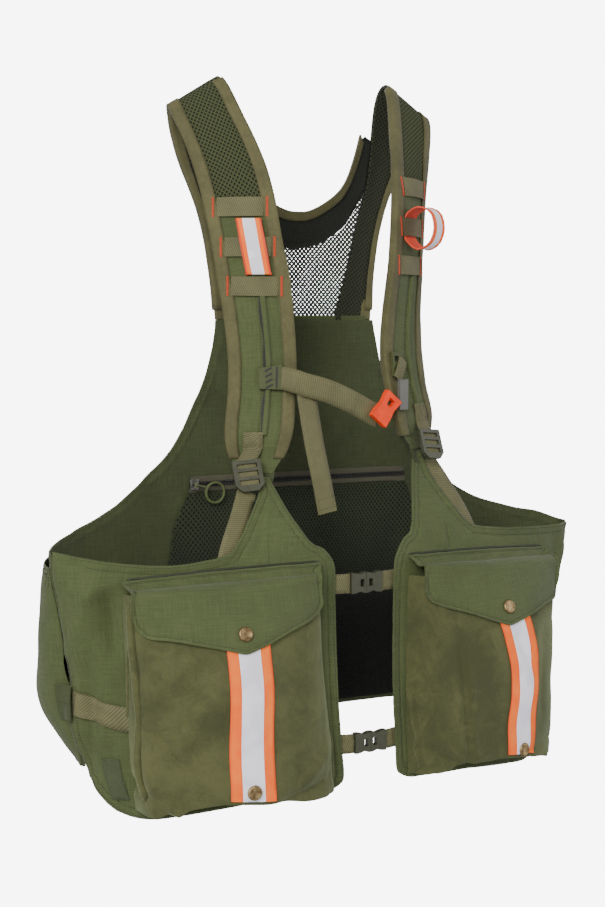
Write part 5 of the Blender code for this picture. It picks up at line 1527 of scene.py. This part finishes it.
def strap_tongue(word, side):
    """The rounded end of the strap's own cloth, tucked down behind the panel's lug, in painted
    shade.
    """
    strip, rows = strips[side], []
    for far in np.linspace(-6.0, TONGUE_LONG, 14):
        narrow = 0.86 * math.sqrt(max(0.02, 1.0 - (max(far, 0.0) / (TONGUE_LONG + 0.5)) ** 2))
        rows.append([strip.middle[0] - strip.along[3] * far
                     + strip.sideways[0] * (strip.wide[0] / 2 * share * narrow)
                     for share in np.linspace(-1.0, 1.0, 9)])
    places = np.array(rows)
    outs = np.tile(strip.out[3], (*places.shape[:2], 1))
    patch("strap_tongue_" + word, places - outs * 1.6, outs, 1.6, RIPSTOP_SHADED, "ripstop")


for word, side in SIDES:
    rail(word, side)
for word, side in SIDES:
    strap_tongue(word, side)


# Neck yoke and net: a dark mesh yoke edged with khaki tape joins the straps behind the neck,
# and a net that light shows through runs from it to the back panel.

YOKE_TOP = -58.0


def see_through_net(name, wide, tall):
    """Black netting with diamond holes that are really open."""
    finish = Finish(name, 0.7)
    hole = finish.diamonds(wide, tall)
    return finish.dress((0.016, 0.018, 0.014), hole, 0.0003, 0.5, Alpha=1.0 - hole.step(0.57, 0.63))


def behind(co):
    return np.tile((0.0, 1.0, 0.0), (len(co), 1))


def yoke_folds(co):
    return uneven(co, 40.0, 0.4, 61)


def seam_band(name, line, wide, material, slot, threads):
    """A flat felled seam over the meeting of two sheets, on both of their faces."""
    for word, face in (("inner", -1.0), ("outer", 1.0)):
        out = np.array([0.0, face, 0.0])
        rows = [[p + out + UP * dz for p in line] for dz in np.linspace(-wide / 2, wide / 2, 5)]
        patch(name + "_" + word, rows, np.tile(out, (5, len(line), 1)), 0.6, material, slot)
        paths = [even(np.array(rows[i]) + out * 0.65) for i in (1, 3)]
        sew(name + "_stitches_" + word, [(path, np.tile(out, (len(path), 1))) for path in paths],
            threads, 2.0, 0.45)


YOKE_MESH = spacer_mesh("dark yoke mesh", (0.020, 0.024, 0.016), (0.004, 0.005, 0.004), 3.4, 3.8)
NET = see_through_net("open net", 5.2, 5.6)
LEVEL = upright((1, 0, 0))
yoke = Cloth("neck_yoke", 1.0, 2, behind).push(yoke_folds)
above = np.maximum(yoke.co[:, 2] - YOKE_TOP, 0.0)
yoke.co[:, 2] -= above * 0.78
yoke.done(YOKE_MESH, "mesh", LEVEL)
net = Cloth("yoke_net", 1.2, 2, behind).push(yoke_folds)
net.done(NET, "mesh", LEVEL)
rim = np.concatenate(net.outline(2.0))
net_top = []
for x in np.linspace(-88.0, 88.0, 60):
    some = rim[np.abs(rim[:, 0] - x) < 6.0]
    if len(some):
        net_top.append((x, *some[some[:, 2].argmax()][1:]))
collar = Cloth("neck_binding", 1.0, 2, behind, sharp=True).push(yoke_folds)
collar.done(BINDING, "binding", LEVEL, sheet=False)
BLACK_THREAD = thread("black thread", (0.02, 0.022, 0.016))
foot_y, foot_z = box_of("yoke_net")[0][1] + 0.6, box_of("back_panel")[1][2] + 0.2
seam_band("back_top_seam", [np.array([x, foot_y, foot_z]) for x in np.linspace(-95.5, 95.5, 60)],
          9.0, RIPSTOP, "ripstop", GREEN_THREAD)
seam_band("net_top_seam", even(net_top) - np.array([0.0, 0.6, -0.4]), 6.0, YOKE_MESH, "mesh",
          BLACK_THREAD)


# Ladder locks: grey-green moulded plates at the foot of each strap, with webbing from the
# strap above and a webbing tail behind the lug below. Boxes of thread hold the webbing down.

PLASTIC = moulded("grey green plastic", (0.052, 0.055, 0.033))
PALE_PLASTIC = moulded("pale grey plastic", (0.115, 0.112, 0.098))
OLIVE_PLASTIC = moulded("olive plastic", (0.064, 0.076, 0.028), 0.5, 0.25)
ORANGE_PLASTIC = moulded("orange plastic", (0.94, 0.060, 0.012), 0.46, 0.18)
LOCK_LEAN = 0.42
PLATE_ROWS, PLATE_COLUMNS = 11, 9


def forward(co):
    return unit(np.tile((0.0, -1.0, 0.25), (len(co), 1)))


def web_piece(node, away=forward):
    """Webbing with its ribs square to its own length."""
    cloth = Cloth(node, 1.5, 2, away)
    strip = Strip(cloth)
    cloth.done(WEBBING, "webbing", strip.spread, sheet=False)
    return cloth, strip


def box_stitch(name, web, low, high, near, far, length, thick, cross=False):
    """A sewn box, or one with its diagonals, from one distance along to another."""
    cloth, strip = web
    corners = [(low, near), (high, near), (high, far), (low, far)]
    lines = list(zip(corners, corners[1:] + corners[:1]))
    if cross:
        lines += [(corners[0], corners[2]), (corners[1], corners[3])]
    rows = []
    for (v0, a0), (v1, a1) in lines:
        path = [strip.at(v0 + (v1 - v0) * t, a0 + (a1 - a0) * t) for t in np.linspace(0, 1, 8)]
        rows.append(cloth.lay(even(path, 2.2), 0.06, snap=6.0))
    sew(name, rows, GREEN_THREAD, length, thick)


def plate_at(node, out):
    """The middle of a hard plate, with its ways across, up and out."""
    out = unit(np.array(out, float))
    right = unit(np.array([1.0, 0.0, 0.0]) - out * out[0])
    up = np.cross(out, right)
    return box_of(node).mean(axis=0), right, up if up[2] > 0 else -up, out


def on_plate(name, plate, size, lift, wall, material, slot, at=(0.0, 0.0), slant=0.0, bow=0.0,
             flare=0.0):
    """A small piece laid on a hard plate: turned, bowed outward, or wider at one end."""
    middle, right, up, out = plate
    cos, sin = math.cos(math.radians(slant)), math.sin(math.radians(slant))
    rows = []
    for z in np.linspace(-0.5, 0.5, PLATE_ROWS):
        row = []
        for x in np.linspace(-0.5, 0.5, PLATE_COLUMNS):
            a, b = x * size[0], z * size[1] * (1.0 + flare * x)
            raised = lift + bow * math.cos(math.pi * z)
            row.append(middle + right * (at[0] + a * cos - b * sin)
                       + up * (at[1] + a * sin + b * cos) + out * raised)
        rows.append(row)
    return patch(name, rows, np.tile(out, (PLATE_ROWS, PLATE_COLUMNS, 1)), wall, material, slot)


for word, side in SIDES:
    plate = plate_at("ladder_lock_" + word, (0.25 * side, -1.0, LOCK_LEAN))
    on_plate("ladder_wrap_" + word, plate, (20.0, 22.0), -1.2, 1.2, WEBBING, "webbing",
             at=(0.0, 1.2), bow=0.5)
    coat("ladder_lock_" + word, PLASTIC, 0.7)
    web = web_piece("ladder_web_" + word)
    head = web[1].long
    box_stitch("ladder_web_stitches_" + word, web, head - 18.0, head - 2.5, 0.14, 0.86, 1.5, 0.45,
               cross=True)
    web_piece("ladder_tail_" + word)


# Chest strap: webbing from the slider on the right strap to an orange buckle that hooks on the
# left one, and its spare end hanging straight down with a folded, stitched tip.

SLIDER_SLOTS = (8.6, 2.8, -3.0, -8.6)
WEB_IN, WEB_DOWN = 12.0, 2.4


def across_chest(co):
    return np.tile(np.array([0.05, -1.0, 0.0]) / 1.00125, (len(co), 1))


def strap_plate(side, node):
    """A hard plate that lies on a strap, facing as the strap does there."""
    strip = strips[side]
    return plate_at(node, strip.out[strip.step_of(box_of(node).mean(axis=0))])


plate = strap_plate(-1, "chest_slider_right")
slider = on_plate("chest_slider_right_plate", plate, (25.0, 24.0), -1.4, 2.8, OLIVE_PLASTIC,
                  "plastic", flare=0.18)
soften(slider, 0.5)
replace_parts(slider, "chest_slider_right")
# The slots are dark patches of painted shadow laid on the plate, not holes through it.
for number, z in enumerate(SLIDER_SLOTS):
    on_plate("chest_slider_slot_" + str(number), plate, (8.0, 2.2), 1.38, 0.12, PAINTED_SHADOW,
             "plastic", at=(-1.8, z), slant=24.0)
on_plate("chest_slider_slot_long", plate, (2.0, 22.0), 1.38, 0.12, PAINTED_SHADOW, "plastic",
         at=(6.2, 0.0), slant=-5.0)
chest = Cloth("chest_web", 1.5, 2, across_chest)
strip = Strip(chest)
rest = strip.long - strip.spread(chest.flat)[:, 1]
chest.co -= strip.along[-1] * WEB_IN * fade_in(rest, 26.0)
chest.co -= plate[3] * WEB_DOWN * fade_in(rest, 7.0)
chest.done(WEBBING, "webbing", strip.spread, sheet=False)
box_stitch("chest_web_stitches", (chest, strip), 30.0, 33.0, 0.06, 0.94, 1.6, 0.5)
tail = web_piece("chest_tail", across_chest)
box_stitch("chest_tail_stitches", tail, 3.0, 14.0, 0.1, 0.9, 1.6, 0.5)
coat("chest_slider_left", OLIVE_PLASTIC, 0.5)
on_plate("chest_slider_wrap", strap_plate(1, "chest_slider_left"), (13.0, 25.0), 1.6, 1.2, WEBBING,
         "webbing", at=(1.5, -5.0), slant=-30.0, bow=1.0)
coat("chest_socket", ORANGE_PLASTIC, 1.0)
coat("chest_prong", PALE_PLASTIC, 0.8)


# Waist fastenings: two side-release buckles across the open front, each half on a short length
# of webbing sewn behind the panel's edge.

for level in ("upper", "lower"):
    for word, side in SIDES:
        web_piece("waist_web_" + level + "_" + word, across_chest)
    coat("waist_prong_" + level, PLASTIC, 0.9)
    coat("waist_socket_" + level, PLASTIC, 0.9)
